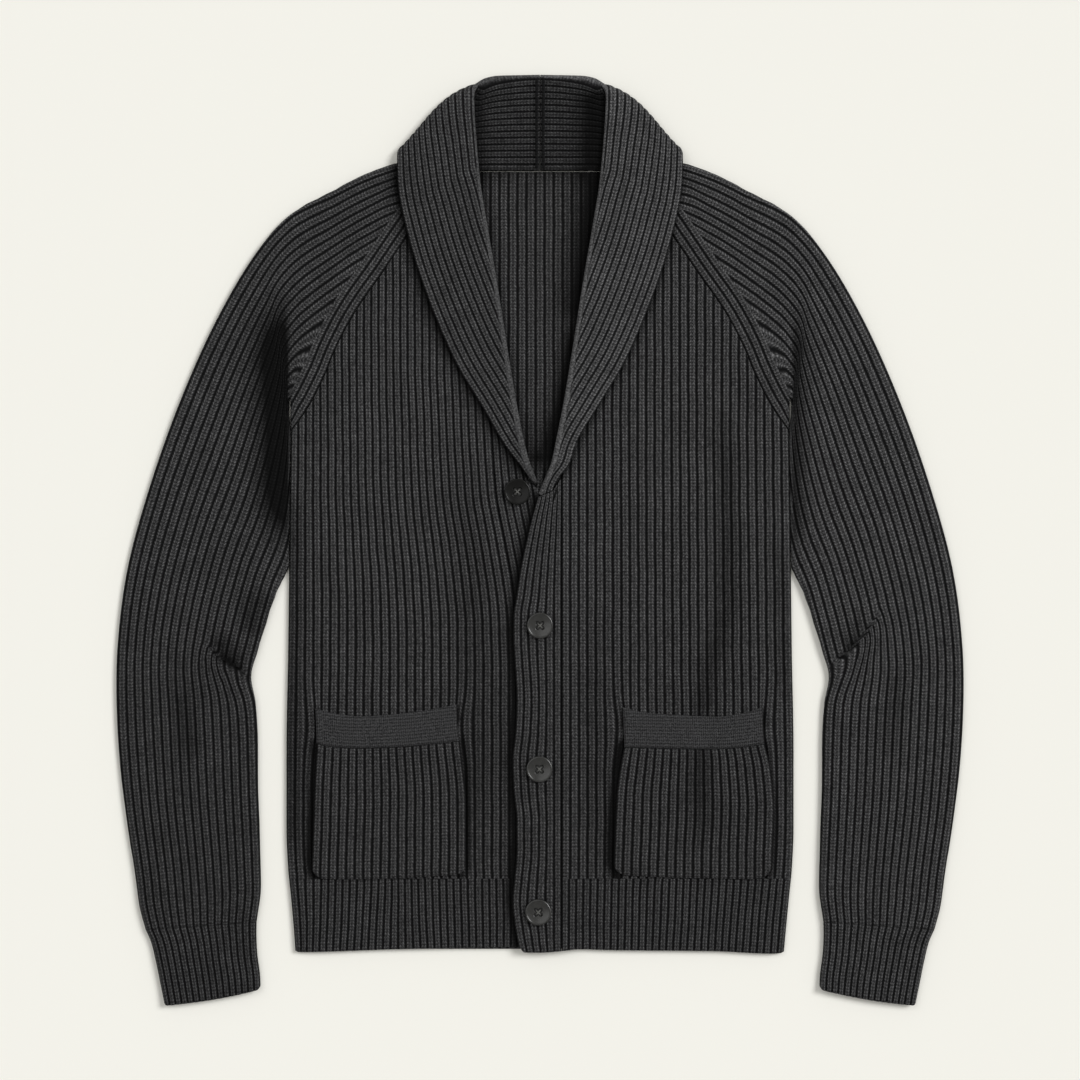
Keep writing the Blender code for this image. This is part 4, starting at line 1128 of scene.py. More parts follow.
@dataclass
class Front:
    """One front with its hem."""

    hand: Hand
    finishes: Finishes
    rib_pitch: float = 7.87
    hem_pitch: float = 6.6
    hem_slant: float = 7.5         # how far the hem's ribs lean at the far end of the left front
    lean_in: Step = (-100.0, 60.0)
    lean_out: Step = (-232.0, 30.0)
    hem_depth: float = 66.0
    under_seam: float = 22.0       # about where the left front ends at the under band
    pucker_in: float = 4.0         # how far the pocket's mouth draws the ribs in
    pucker_at: float = 6.0         # that far outside the band's ends
    pucker_width: float = 9.0
    pucker_height: float = 26.0

    def sides(self) -> tuple[Curve, Curve]:
        """Side curves, from -X to +X."""
        if self.hand is Hand.LEFT:
            return (lambda y: -side_x(y)), curve(UNDER_SEAM)
        return constant(OVER_BAND_SEAM_X + SEAM), side_x

    def pucker(self, x: Array, y: Array) -> tuple[Array, Array]:
        """Draws the ribs in towards both ends of the pocket's mouth band."""
        pocket = POCKETS[self.hand]
        for edge, way in ((pocket.band_in_x, 1), (pocket.band_out_x, -1)):
            beside = (np.abs(x) - edge) * way
            near = hump(np.abs(x) - edge + way * self.pucker_at, self.pucker_width)
            level = hump(y - pocket.band_y, self.pucker_height) * (beside < 2 * self.pucker_at)
            x = x + np.sign(x) * way * self.pucker_in * near * level
        return x, y

    def slanted(self, x: Array, y: Array) -> tuple[Array, Array]:
        """Leans the left hem's ribs, more towards its outer end."""
        down = (HEM_TOP - y) / self.hem_depth
        lean = self.hem_slant * falling(x, *self.lean_in) * rising(x, *self.lean_out)
        return x - lean * (down - 0.5), y

    def build(self) -> None:
        """Builds the front and its hem."""
        is_left = self.hand is Hand.LEFT
        sides = self.sides()
        width = SIDE["x"].max() - (self.under_seam if is_left else OVER_BAND_SEAM_X)
        beside = PAINTED_BAND_SHADOW * is_left
        Panel(*sides, constant(HEM_TOP + JOIN), front_top, round(width / self.rib_pitch),
              front_underside, pull=self.pucker, open_ends=(True, False),
              seed=1.0 if is_left else 2.0,
              shades=PAINTED_LAPEL_SHADOW + beside + PAINTED_POCKET_SHADOW[self.hand]
              + PAINTED_TROUGH_SHADE[self.hand]).piece(
                  f"front_{self.hand.label}", self.finishes.rib, (0.215, 0.64), 0.108,
                  ("back_panel",))
        Panel(*sides, curve(HEM_BOTTOM), constant(HEM_TOP),
              round(width / self.hem_pitch), front_underside, form=HEM_RIB,
              pull=self.slanted if is_left else None, open_ends=(False, True),
              shades=beside + PAINTED_TROUGH_SHADE[self.hand]).piece(
                  f"hem_{self.hand.label}", self.finishes.rib, (0.215, 0.068), None,
                  ("back_hem",))


@dataclass
class ButtonBands:
    """The two button bands: the one that lies under and the one that lies over."""

    finishes: Finishes
    ribs: int = 6
    curved_seam: float = 0.5
    shorter: float = 2.0           # the under band ends this far above the other's edge
    wobble: float = 0.2

    def build(self) -> None:
        """Builds both bands."""
        def level(x: Array, y: Array) -> Array:
            """Underside of the band below."""
            return np.full_like(x, FRONT_Z)

        def raised(x: Array, y: Array) -> Array:
            """Underside of the band above."""
            return FRONT_Z + over_step(x, y)

        def under_top(x: Array) -> Array:
            """Upper end of the band below: the neck's curve on the left."""
            return follow(FRONT_NECK, -x)

        Panel(curve(UNDER_SEAM, self.curved_seam), curve(UNDER_EDGE),
              curve(OVER_BOTTOM, self.shorter), under_top, self.ribs, level,
              form=SLEEVE_RIB, wobble=self.wobble, shades=PAINTED_LAPEL_SHADOW + PAINTED_BAND_SHADOW).piece(
                  "band_under", self.finishes.rib, (0.045, 0.52), None, ("back_panel",))
        Panel(curve(OVER_EDGE), constant(OVER_BAND_SEAM_X),
              curve(OVER_BOTTOM), curve(OVER_TOP), self.ribs, raised,
              form=SLEEVE_RIB, row_step=3.0, wobble=self.wobble, kept=(2, 1),
              open_ends=(False, True), shades=BUTTONHOLE_SHADE).piece(
                  "band_over", self.finishes.rib, (0.044, 0.43), None, ("band_under",))


@dataclass(frozen=True)
class PocketCut:
    """Outlines of one patch pocket and of the band on its mouth, X and Y in mm."""

    bag_in: Table
    bag_out: Table
    bag_bottom: Table
    mouth: Table
    band_in: Table
    band_out: Table
    band_top: Table
    band_in_x: float
    band_out_x: float
    band_y: float


POCKETS = {
    Hand.LEFT: PocketCut(
        table("y x", (-312, -67.6), (-299, -68.0), (-243, -68.0), (-186, -73.5)),
        table("y x", (-312, -209.6), (-300, -209.3), (-276, -208.4), (-227, -206.8),
              (-186, -204.5)),
        table("x y", (-210, -299), (-208.5, -303.5), (-205, -308), (-199, -310.8), (-183, -311.4),
              (-141, -310.5), (-92, -308.2), (-76, -306.8), (-71, -304), (-67.8, -298)),
        table("x y", (-205, -186), (-198, -188.6), (-166, -191), (-125, -189.5),
              (-92, -186.3), (-73, -184.3)),
        table("y x", (-192, -73.0), (-171, -75.9), (-150, -76.6)),
        table("y x", (-192, -204.7), (-154, -206.0)),
        table("x y", (-206, -154.7), (-185, -159.6), (-166, -161.8), (-141, -160.5),
              (-116, -157.8), (-92, -154.1), (-76, -150.6)),
        75.0, 205.5, -170.0),
    Hand.RIGHT: PocketCut(
        table("y x", (-311, 67.5), (-296, 67.6), (-272, 68.5), (-232, 70.4), (-201, 74.8),
              (-188, 77.5)),
        table("y x", (-311, 212.6), (-288, 213.0), (-248, 214.5), (-209, 211.1), (-188, 206.0)),
        table("x y", (67.5, -297), (70, -303), (76, -306.9), (95, -308.7), (143, -310.2),
              (191, -311.1), (203, -310), (209, -306.5), (213, -299)),
        table("x y", (77, -190.2), (112, -191), (159, -191.7), (198, -188.4), (207, -186.5)),
        table("y x", (-192, 77.5), (-153, 75.9)),
        table("y x", (-192, 205.0), (-164, 204.1), (-153, 203.3)),
        table("x y", (75, -153), (95, -158.1), (127, -160.5), (162, -162.0), (187, -158.7),
              (205, -152.8)),
        76.5, 204.5, -172.0),
}


@dataclass
class Pocket:
    """Patch pocket: a ribbed bag, and a plain-knit band on its mouth."""

    hand: Hand
    finishes: Finishes
    ribs: int = 18
    band_ribs: int = 22
    band_wall: float = 3.0

    def build(self) -> None:
        """Builds the bag and its band."""
        cut, label = POCKETS[self.hand], self.hand.label
        bag, band = ([curve(side) for side in sides[::self.hand.value]]
                     for sides in ((cut.bag_in, cut.bag_out), (cut.band_in, cut.band_out)))
        Panel(*bag, curve(cut.bag_bottom), curve(cut.mouth, -SEAM),
              self.ribs, front_surface, edge_radius=3.6, seed=4.0 + self.hand.value,
              shades=PAINTED_TROUGH_SHADE[self.hand]).piece(
                  f"pocket_{label}", self.finishes.rib, (0.15, 0.13), None, (f"front_{label}",))
        Panel(*band, curve(cut.mouth), curve(cut.band_top), self.band_ribs,
              front_surface, form=PLAIN, wall=self.band_wall, edge_radius=3.0,
              row_step=4.0).piece(
                  f"pocket_band_{label}", self.finishes.jersey, (0.135, 0.036), None,
                  (f"front_{label}",), "jersey_knit")


# ---------------------------------------------------------------- sleeves and cuffs

SLEEVE_SEAM_SHARE = table("u arc", (0.10, 0.0), (0.39, 0.19), (0.63, 0.535), (0.80, 0.82),
                          (1.0, 1.0))
CREASE = table("u x", (0.0, 236.0), (0.25, 238.0), (0.45, 237.5), (0.63, 236.0), (0.80, 233.0),
               (1.0, 231.0))
SHOULDER = table("x top drop",
                 (105.0, 349.6, 139.0), (131.0, 350.0, 144.0), (140.0, 347.0, 147.5),
                 (152.3, 341.6, 151.0), (169.7, 333.5, 156.0), (189.0, 322.5, 162.0),
                 (223.1, 304.1, 183.0), (231.4, 297.6, 191.0), (238.0, 291.8, 199.0))
SHOULDER_ROWS = (0.16, 0.32, 0.48, 0.64, 0.8, 0.92)
ARM = table("out_x out_y in_x in_y bow",
            (259, 267, 225.0, 72, 0.5), (298, 201, 222.0, 22, 1.0), (333, 122, 228.5, -19, 0),
            (360, 45, 242.5, -50, 0), (380, -30, 256.0, -92, 0), (388.6, -100, 265.0, -127, 0),
            (389.4, -150, 260.6, -152, 0), (383, -235, 258.5, -235, 0),
            (371.5, -312, 256.6, -303, 0), (368.3, -336, 256.6, -325, 0),
            (362.6, -357.6, 260.4, -350.6, 0))
WRAP = table("y over under",
             (-360.0, 0.0625, 0.0625), (-150.0, 0.045, 0.045), (0.0, 0.045, 0.02),
             (120.0, 0.045, 0.0), (250.0, 0.042, 0.0), (300.0, 0.034, 0.0), (325.0, 0.012, 0.0),
             (345.0, 0.0, 0.0))
CUFF = table("out_x out_y in_x in_y",
             (362.5, -357.8, 260.4, -350.8), (357.6, -369.0, 260.6, -362.0),
             (352.8, -388.5, 259.8, -380.0), (348.8, -409, 257.4, -399),
             (345.4, -427.5, 256.8, -412.6))


@dataclass(frozen=True)
class Tuck:
    """Sharp crease where the knit below it is drawn along it, in under the knit above.

    A point just below the path moves along it by `drawn` times what is left of the path's
    length; the move fades with exp(-(distance below / reach) squared).
    """

    path: Path
    drawn: float = 0.34
    reach: float = 16.0

    def moved(self, x: Array, y: Array, free: Array) -> tuple[Array, Array]:
        """New plan of the points; `free` is 0 where they have to stay."""
        points = np.array(self.path)
        start, _, along, below = beside_path(self.path, x, y)
        strength = self.drawn * hump(below, self.reach) * ease(below / 1.5 + 0.5)
        ahead = along + (start[-1] - along) * strength * free
        step = on_line(ahead, start, points) - on_line(along, start, points)
        return x + step[..., 0], y + step[..., 1]


ELBOW = {
    Hand.LEFT: Tuck(((266.3, -127.4), (271.9, -122.8), (278.3, -116.4), (287.5, -110.9),
                     (296.7, -105.3), (303.1, -98.0), (306.4, -92.6))),
    Hand.RIGHT: Tuck(((266.3, -114.5), (277.4, -108.1), (286.6, -98.9), (297.6, -86.9),
                      (306.8, -74.1), (312.3, -61.2))),
}


SLEEVE_FOLDS = {
    Hand.LEFT: (
        Fold(((268, -124), (275, -119), (289, -111), (297, -100), (306, -88), (309, -74)),
             -2.6, 4.5, 0.25),
        Fold(((268, -134), (280, -130), (294, -121), (303, -110), (313, -96)), 1.2, 7.0),
        Fold(((262, -96), (272, -84), (278, -60), (281, -30)), -1.6, 7.0),
        Fold(((350, -96), (333, -120), (312, -146), (299, -152)), -2.0, 8.0),
        Fold(((356, -112), (338, -138), (318, -164)), 1.5, 9.0),
        Fold(((300, -160), (290, -210), (286, -270)), -1.3, 9.0),
        Fold(((330, -170), (336, -240), (330, -310)), 0.9, 16.0),
        Fold(((285, 130), (300, 60), (315, -10), (322, -60)), 1.2, 18.0),
        Fold(((262, 60), (280, 0), (296, -60)), -1.4, 12.0),
    ),
    Hand.RIGHT: (
        Fold(((267, -116), (278, -109), (287, -99), (298, -87), (307, -74), (313, -60)),
             -2.4, 4.5, 0.25),
        Fold(((268, -126), (280, -121), (292, -110), (303, -98), (316, -80)), 1.2, 7.0),
        Fold(((262, -84), (270, -66), (274, -40), (278, -8)), -1.6, 7.0),
        Fold(((354, -70), (338, -100), (318, -132), (300, -150)), -1.7, 8.0),
        Fold(((362, -84), (345, -118), (324, -150)), 1.3, 9.0),
        Fold(((296, -166), (288, -215), (288, -280)), -1.3, 9.0),
        Fold(((335, -180), (338, -250), (332, -320)), 0.9, 15.0),
        Fold(((288, 120), (303, 50), (318, -20)), 1.1, 17.0),
        Fold(((264, 50), (280, -10), (292, -60)), -1.3, 12.0),
    ),
}


def raglan_point(u: Array) -> tuple[Array, Array]:
    """Place on the raglan seam for a share of the sleeve's ribs, and the way out from it."""
    fine = np.linspace(RAGLAN["x"][0], RAGLAN["x"][-1], 400)
    line = np.stack((fine, follow(RAGLAN, fine)), axis=-1)
    length = np.concatenate(([0.0], np.cumsum(np.linalg.norm(np.diff(line, axis=0), axis=1))))
    arc = follow(SLEEVE_SEAM_SHARE, u) * length[-1]
    way = on_line(arc + 4, length, line) - on_line(arc - 4, length, line)
    along = way / np.linalg.norm(way, axis=1, keepdims=True)
    return on_line(arc, length, line), np.stack((-along[:, 1], along[:, 0]), axis=-1)


@dataclass
class Sleeve:
    """Raglan sleeve with its cuff, pressed flat into two layers.

    The sleeve's ribs leave the neck and the raglan ribs side by side, turn over the shoulder and
    run down the arm. Three ribs of their own run along the raglan seam, on top of where the
    others end.
    """

    hand: Hand
    finishes: Finishes
    ribs: int = 18
    row_step: float = 3.3
    plan_columns: int = 181
    lower_columns: int = 30
    raglan_ribs: int = 3
    raglan_rows: int = 90
    raglan_width: float = 22.0
    raglan_top: tuple[float, float] = (109.0, 345.0)   # the raglan ribs start here
    raglan_under: float = 3.0      # the sleeve's ribs run in under them this far
    raglan_wall: float = 2.6
    raglan_rise: float = 1.1       # how high they lie on the sleeve, but for their outer edge
    raglan_drop: float = 1.8       # how far they come down at the seam
    raglan_out: Step = (150.0, 60.0)   # from here out they follow the sleeve's own height
    raglan_low: Step = (0.3, 0.4)      # ribs are lower where they are narrower than this share
    armpit_width: float = 14.0     # width that is left of them at the armpit
    armpit_share: float = 0.12     # share of the sleeve's ribs over which they narrow
    body_edge: float = 231.0
    beside_body: float = 0.4       # ribs run off under the body this far outside its side
    clear_above: float = 150.0     # above this height none of them meets the body
    clear_over: float = 40.0
    tuck_free: float = 0.2         # share of the width over which tucks fade, by the body
    fold_radius: float = 6.0
    lining_rows: int = 14
    lining_in: float = 2.2         # the lining is drawn in this far
    hollow: float = 0.9            # and lies at most this far above the tube's middle
    cuff_top: float = -352.0
    cuff_step: float = 4.0
    cuff_rise: float = 0.7
    cuff_above: float = 30.0       # the sleeve comes down to the cuff over this height
    cuff_below: float = 16.0       # and the cuff gets uneven over this one
    cuff_bow: float = 2.0
    corner_radius: float = 4.0
    puff: float = 1.3
    puff_width: float = 150.0
    soft: float = 0.5              # unevenness of sleeve and cuff as they lie
    armpit_fold: float = 3.2       # depth of the sleeve's fold beside the body
    armpit_out: float = 16.0       # and its width
    armpit_top: Step = (120.0, 60.0)
    armpit_foot: Step = (-60.0, 40.0)
    valley: float = 3.0            # depth of the valley above it, along the body
    valley_x: float = 235.0
    valley_width: float = 8.0
    valley_top: Step = (245.0, 130.0)
    valley_foot: Step = (70.0, 40.0)
    deepest: float = 2.4           # both together are never drawn in further
    shade_from: Step = (228.5, 6.0)   # the painted shade beside the body starts this far out
    # Painted shade over the left arm; below 0, painted light over the right one, as the key light
    # comes from the right.
    arm_shade: dict[Hand, float] = field(default_factory=lambda: {
        Hand.LEFT: 0.08, Hand.RIGHT: -0.11})

    def strip_edge(self, u: Array, width: Array | float) -> Array:
        """Outer edge of the raglan ribs, `width` out from the seam."""
        point, out = raglan_point(u)
        edge = point + out * np.reshape(width, (-1, 1))
        share = np.clip(u / SLEEVE_SEAM_SHARE["u"][0], 0, 1)[:, None]
        top = np.array(self.raglan_top)
        return np.where(share < 1, top + (edge - top) * share, edge)

    def strip_width(self, u: Array) -> Array:
        """Width of the raglan ribs: even, and a little narrower at the armpit."""
        gain = falling(u, 1.0, self.armpit_share)
        return self.armpit_width + (self.raglan_width - self.armpit_width) * gain

    def shoulder_row(self, start: Array, u: Array, along: float) -> Array:
        """Points across the shoulder: the ribs lie evenly spaced below its top edge.

        Args:
            start: where each rib line leaves the raglan ribs.
            u: share of the sleeve's ribs.
            along: 0 at the start, 1 where the ribs turn down the arm.
        """
        def height(x: Array) -> Array:
            """Height on the plan of each rib line at a distance out."""
            return follow(SHOULDER, x, "top") - follow(SHOULDER, x, "drop") * u

        x = start[:, 0] + (follow(CREASE, u) - start[:, 0]) * along
        off = (start[:, 1] - height(start[:, 0])) * (1 - along) ** 2
        return np.stack((x, height(x) + off), axis=-1)

    def cross_line(self, tab: Table, i: int, u: Array, bow: float = 0.0) -> Array:
        """Points straight across a sleeve or cuff at one section of its table."""
        outside = np.array((tab["out_x"][i], tab["out_y"][i]))
        inside = np.array((tab["in_x"][i], tab["in_y"][i]))
        line = outside + (inside - outside) * u[:, None]
        line[:, 1] -= bowed(bow, u)
        return line

    def sleeve_rows(self, u: Array, step: float) -> Array:
        """Plan of the sleeve: dense rows at the shares u.

        A few control rows, from under the raglan ribs over the shoulder to the cuff, are joined
        by smooth curves; the result is cut off straight where it meets the body's side.
        """
        start = self.strip_edge(u, self.strip_width(u) - self.raglan_under)
        rows = [self.shoulder_row(start, u, along) for along in (0.0, *SHOULDER_ROWS, 1.0)]
        for i, bow in enumerate(ARM["bow"]):
            row = self.cross_line(ARM, i, u)
            row[:, 0] += bowed(bow, u)
            rows.append(row)
        dense = joined(np.array(rows), step)
        limit = side_x(dense[..., 1]) + self.beside_body
        low = falling(dense[..., 1], self.clear_above, self.clear_over) * (dense[..., 0] < limit)
        dense[..., 0] = dense[..., 0] + (limit - dense[..., 0]) * low
        return dense

    def cuff_rows(self, u: Array, step: float) -> Array:
        """Plan of the cuff: its lower edge bows out."""
        last = len(CUFF["out_x"]) - 1
        control = np.array([self.cross_line(CUFF, i, u, self.cuff_bow * i / last)
                            for i in range(last + 1)])
        rows = joined(control, step)
        width = np.linalg.norm(rows[:, 0] - rows[:, -1], axis=1)[:, None]
        corner = 1 - rounded(np.minimum(u, 1 - u)[None, :] * width, self.corner_radius)
        near_end = np.linspace(0, 1, len(rows))[:, None] ** 6
        rows[..., 1] += self.corner_radius * corner * near_end
        return rows

    def wrapped(self, grid: Array, lines: Array) -> tuple[Array, Array, Array]:
        """Lays rib lines on dense rows so that the outer ones pass round the folded edges.

        Args:
            grid: plan of dense rows at even shares of the width, (rows, n, 2).
            lines: share of the sleeve's ribs at each rib line.

        Returns:
            The plan of the whole ring, (rows, columns, 2), each point's share of the width, and
            whether it lies on the upper layer.
        """
        over, under = (follow(WRAP, grid[:, :1, 1], side) for side in ("over", "under"))
        place = (1 + over + under) * lines[None, :] - over
        back = np.linspace(1, 0, self.lower_columns + 2)[1:-1]
        below = over + (1 - over - under) * back[None, :]
        share = np.concatenate((1 - np.abs(1 - np.abs(place)), below), axis=1)
        above = np.concatenate(((place > 0) & (place < 1), below < 0), axis=1)
        at = share * (grid.shape[1] - 1)
        first = np.clip(at.astype(int), 0, grid.shape[1] - 2)
        part = (at - first)[..., None]
        row = np.arange(len(grid))[:, None]
        return grid[row, first] * (1 - part) + grid[row, first + 1] * part, share, above

    def tube(self, name: str, grid: Array, form: RibForm, shape: Height,
             tuck: Tuck | None = None) -> Piece:
        """Closed tube pressed flat: ribs above, plain below, with an open, lined inside.

        Each ring goes across the upper layer's rib lines and back across the lower layer. Its
        height is a quarter-round at both folded edges. The lining is the same ring drawn in, and
        the two are joined at the open ends, so the whole is closed like a ring doughnut.

        Args:
            name: the object's name.
            grid: plan of dense rows at even shares of the width, (rows, n, 2).
            form: the ribs' cross-section.
            shape: adds height to the upper layer, from x and y.
            tuck: a crease that the upper layer is drawn into.
        """
        lines, wale = form.lines(self.ribs)
        whole, share, is_above = self.wrapped(grid, lines / self.ribs)
        away = np.minimum(np.linalg.norm(whole - grid[:, :1], axis=2),
                          np.linalg.norm(whole - grid[:, -1:], axis=2))
        round_off = rounded(away, self.fold_radius)
        x, y = whole[..., 0], whole[..., 1]
        if tuck is not None:
            x, y = tuck.moved(x, y, falling(share, 1.0, self.tuck_free) * is_above)
        columns = len(lines)
        middle = (FRONT_Z + WALL) / 2
        above = FRONT_Z + WALL + shape(x, y)
        ribs = np.zeros_like(x)
        ribs[:, :columns] = form.rise(wale)
        top = middle + (above + ribs - middle) * round_off
        bottom = middle * (1 - round_off)
        points = np.stack((x, y, np.where(is_above, top, bottom)), axis=-1)
        behind = x.shape[1] - columns
        rib_lines = np.concatenate((lines, self.ribs * (1 + np.linspace(0, 1, behind + 2)[1:-1])))
        phase = np.abs(rib_lines[columns:] % 1.0 - 0.5) * 2 / form.fill
        wales = np.broadcast_to(np.concatenate((wale, phase)), x.shape)
        face = KnitFace(points, np.broadcast_to(rib_lines, x.shape), wales,
                        courses_along(points), self.shade(x, y))
        self.hand.place(face.points)
        maker = MeshMaker()
        skin = maker.grid(face, around=True)
        pick = np.unique(np.round(np.linspace(0, len(points) - 1, self.lining_rows)).astype(int))
        outside = face.points[pick]
        toward = face.points.mean(axis=1, keepdims=True)[pick] - outside
        reach = np.linalg.norm(toward, axis=2, keepdims=True)
        inner = outside + toward * np.minimum(self.lining_in / np.maximum(reach, 1e-6), 0.9)
        inner[..., 2] = np.where(is_above[pick], np.minimum(
            outside[..., 2] - WALL, middle + self.hollow), WALL * 0.9)
        lining = maker.grid(KnitFace(inner, face.ribs[pick], np.full_like(
            face.wale[pick], INSIDE_WALE), face.course[pick], INSIDE_SHADE),
            around=True, flip=True)
        for row, flip in ((0, True), (-1, False)):
            maker.strip(*(np.append(ring[row], ring[row][0]) for ring in (skin, lining)), flip)
        return maker.make(name, self.finishes.rib, mirrored=self.hand is Hand.LEFT)

    def shade(self, x: Array, y: Array) -> Array:
        """Painted shade beside the body, along the elbow and forearm and beside the lapel, plus
        arm_shade.
        """
        outside = rising(x, *self.shade_from)
        beside_body = folds_height_and_shade(PAINTED_SLEEVE_SHADE[self.hand], x, y) * outside
        lapel_shadow = shade_at(PAINTED_LAPEL_SHADOW, self.hand.value * x, y)
        return np.clip(beside_body + lapel_shadow + self.arm_shade[self.hand], 0, DEEPEST)

    def arm_height(self, x: Array, y: Array) -> Array:
        """Height added to the sleeve's upper layer by its puff, its folds and its inner crease."""
        puff = bowed(self.puff, np.clip((x - self.body_edge) / self.puff_width, 0, 1))
        folds = folds_height_and_shade(SLEEVE_FOLDS[self.hand], x, y)
        beside = rising(x, self.body_edge, self.armpit_out)
        at_armpit = falling(y, *self.armpit_top) * rising(y, *self.armpit_foot)
        tuck = -self.armpit_fold * (1 - beside) * at_armpit
        valley = -self.valley * hump(x - self.valley_x, self.valley_width) * falling(
            y, *self.valley_top) * rising(y, *self.valley_foot)
        soft = self.soft * wander(x, y, 130.0, 5.0 + self.hand.value)
        drawn_in = self.deepest * np.tanh((tuck + valley) / self.deepest)
        lift = puff + folds + drawn_in + soft
        return self.cuff_rise + (lift - self.cuff_rise) * rising(y, self.cuff_top, self.cuff_above)

    def cuff_height(self, x: Array, y: Array) -> Array:
        """Height added to the cuff's upper layer."""
        beyond = falling(y, self.cuff_top, self.cuff_below)
        return self.cuff_rise + self.soft * beyond * wander(x, y, 60.0, 7.0 + self.hand.value)

    def build(self) -> None:
        """Builds the sleeve, its raglan ribs and its cuff."""
        label = self.hand.label
        even = np.linspace(0, 1, self.plan_columns)
        piece = self.tube(f"sleeve_{label}_knit", self.sleeve_rows(even, self.row_step),
                          SLEEVE_RIB, self.arm_height, ELBOW[self.hand])
        settle(piece, f"sleeve_{label}", (0.30, 0.70), 0.170)
        strip = self.raglan_strip(f"raglan_{label}_knit")
        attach(strip, "root")
        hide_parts(f"sleeve_{label}")
        settle(self.tube(f"cuff_{label}_knit", self.cuff_rows(even, self.cuff_step), HEM_RIB,
                         self.cuff_height), f"cuff_{label}", (0.20, 0.075))

    def raglan_strip(self, name: str) -> Piece:
        """The ribs along the raglan seam: rib lines run with the seam, rows across it."""
        lines, wale = SLEEVE_RIB.lines(self.raglan_ribs)
        along = np.linspace(SLEEVE_SEAM_SHARE["u"][0], 1.0, self.raglan_rows)
        width = self.strip_width(along)
        rows = np.stack([self.strip_edge(along, width * line / self.raglan_ribs + SEAM)
                         for line in lines], axis=1)
        edge = side_x(rows[..., 1]) + self.beside_body - 0.02 * np.arange(len(lines))[::-1]
        rows[..., 0] = np.minimum(rows[..., 0], edge)
        x, y = rows[..., 0], rows[..., 1]
        wales = np.broadcast_to(wale, x.shape)
        share = (lines / self.raglan_ribs)[None, :]
        base = FRONT_Z + WALL + self.raglan_rise * rounded(1 - share, 0.25) - 0.3
        narrow = rising(width[:, None] / self.raglan_width, *self.raglan_low)
        z = base + SLEEVE_RIB.rise(wales) * (0.4 + 0.6 * narrow)
        z = z + self.arm_height(x, y) * rising(x, *self.raglan_out) * 0.8
        at_seam = 1 - rounded(share * width[:, None], 3.0)
        z = z - self.raglan_drop * at_seam - side_fall(x, y) * 0.6
        outer = np.stack((x, y, z), axis=-1)
        inner = np.stack((x, y, np.maximum(z - self.raglan_wall, 2.6)), axis=-1)
        # Painted shade on the strip's side wall by the armpit, and the lapel's painted shadow.
        wall_shade = rising(x - side_x(y), -0.7, 0.6) * falling(y, self.clear_above, 20.0)
        shade = np.maximum(shade_at(PAINTED_LAPEL_SHADOW, self.hand.value * x, y), 0.9 * wall_shade)
        face = KnitFace(outer, np.broadcast_to(lines, x.shape), wales, courses_along(outer),
                        shade)
        self.hand.place(outer, inner)
        return sheet_object(name, face, inner, self.finishes.rib,
                            mirrored=self.hand is Hand.RIGHT)


# ---------------------------------------------------------------- shawl collar

COLLAR_COLUMNS = ("at roll_x roll_y roll_z edge_x edge_y edge_z neck_x neck_y neck_z radius turn "
                  "bulge")
BELLY = table("at out", (0, 0.0), (58, 0.0), (68, 3.5), (78, 7.0), (94, 6.0), (125, 2.0),
              (170, 0.0), (444, 0.0))
BELLY_WAY = (0.69, 0.72, 0.0)
CUBIC_TOP = 6.75              # makes the top of t * (1 - t) ** 2 one
COLLAR_ROWS = (
    (0, 0.2, 425.2, 2.55, 0.2, 346, 1.1, 0.2, 339.2, 2.3, 1.45, 0, 90),
    (40, 38, 424.4, 2.55, 60, 346, 1.1, 44, 339.2, 2.3, 1.45, 0, 90),
    (58, 49, 422.6, 2.55, 94, 348, 1.1, 66, 338.5, 2.6, 1.45, 0, 82),
    (68, 55, 420.0, 2.55, 118, 352, 1.1, 78, 336.4, 3.6, 1.45, 0, 68),
    (75, 58.8, 417.2, 3.56, 124.5, 356.5, 2.4, 81.2, 335.0, 4.3, 1.45, 45, 54),
    (81, 61.0, 414.4, 6.0, 128.7, 358, 5.7, 82.6, 332.4, 5.8, 1.45, 90, 40),
    (87, 62.4, 410.5, 8.44, 130.6, 354, 8.9, 82.2, 330.0, 7.2, 1.45, 135, 24),
    (94, 63.0, 404.0, 9.45, 131, 346.5, 10.3, 81.0, 327, 7.7, 1.6, 180, 12),
    (107, 62.7, 392, 9.45, 130.7, 334, 10.3, 80, 317.5, 7.4, 1.8, 180, 6),
    (125, 61.2, 373, 9.45, 129.8, 321, 10.2, 78.6, 306, 6.8, 1.45, 180, 6),
    (146, 59.2, 349, 9.45, 127.3, 306, 10.0, 77, 293, 6.0, 1.45, 180, 7),
    (170, 56.5, 323, 8.6, 123, 287, 9.7, 74.5, 274, 5.4, 1.6, 180, 8),
    (203, 51.5, 290, 7.5, 114.5, 256, 9.4, 69, 243, 5.2, 2.0, 180, 9),
    (250, 43, 240, 7.25, 99, 212, 9.3, 58.5, 195, 5.2, 2.05, 180, 9),
    (306, 34, 183, 7.25, 77, 162, 9.3, 45.5, 145, 5.2, 2.05, 180, 9),
    (354, 25.5, 131, 7.25, 53, 122, 9.3, 33.5, 111, 5.2, 2.05, 180, 10),
    (394, 17.5, 90, 7.25, 33, 88, 9.3, 24.3, 86.5, 5.2, 2.05, 180, 11),
)
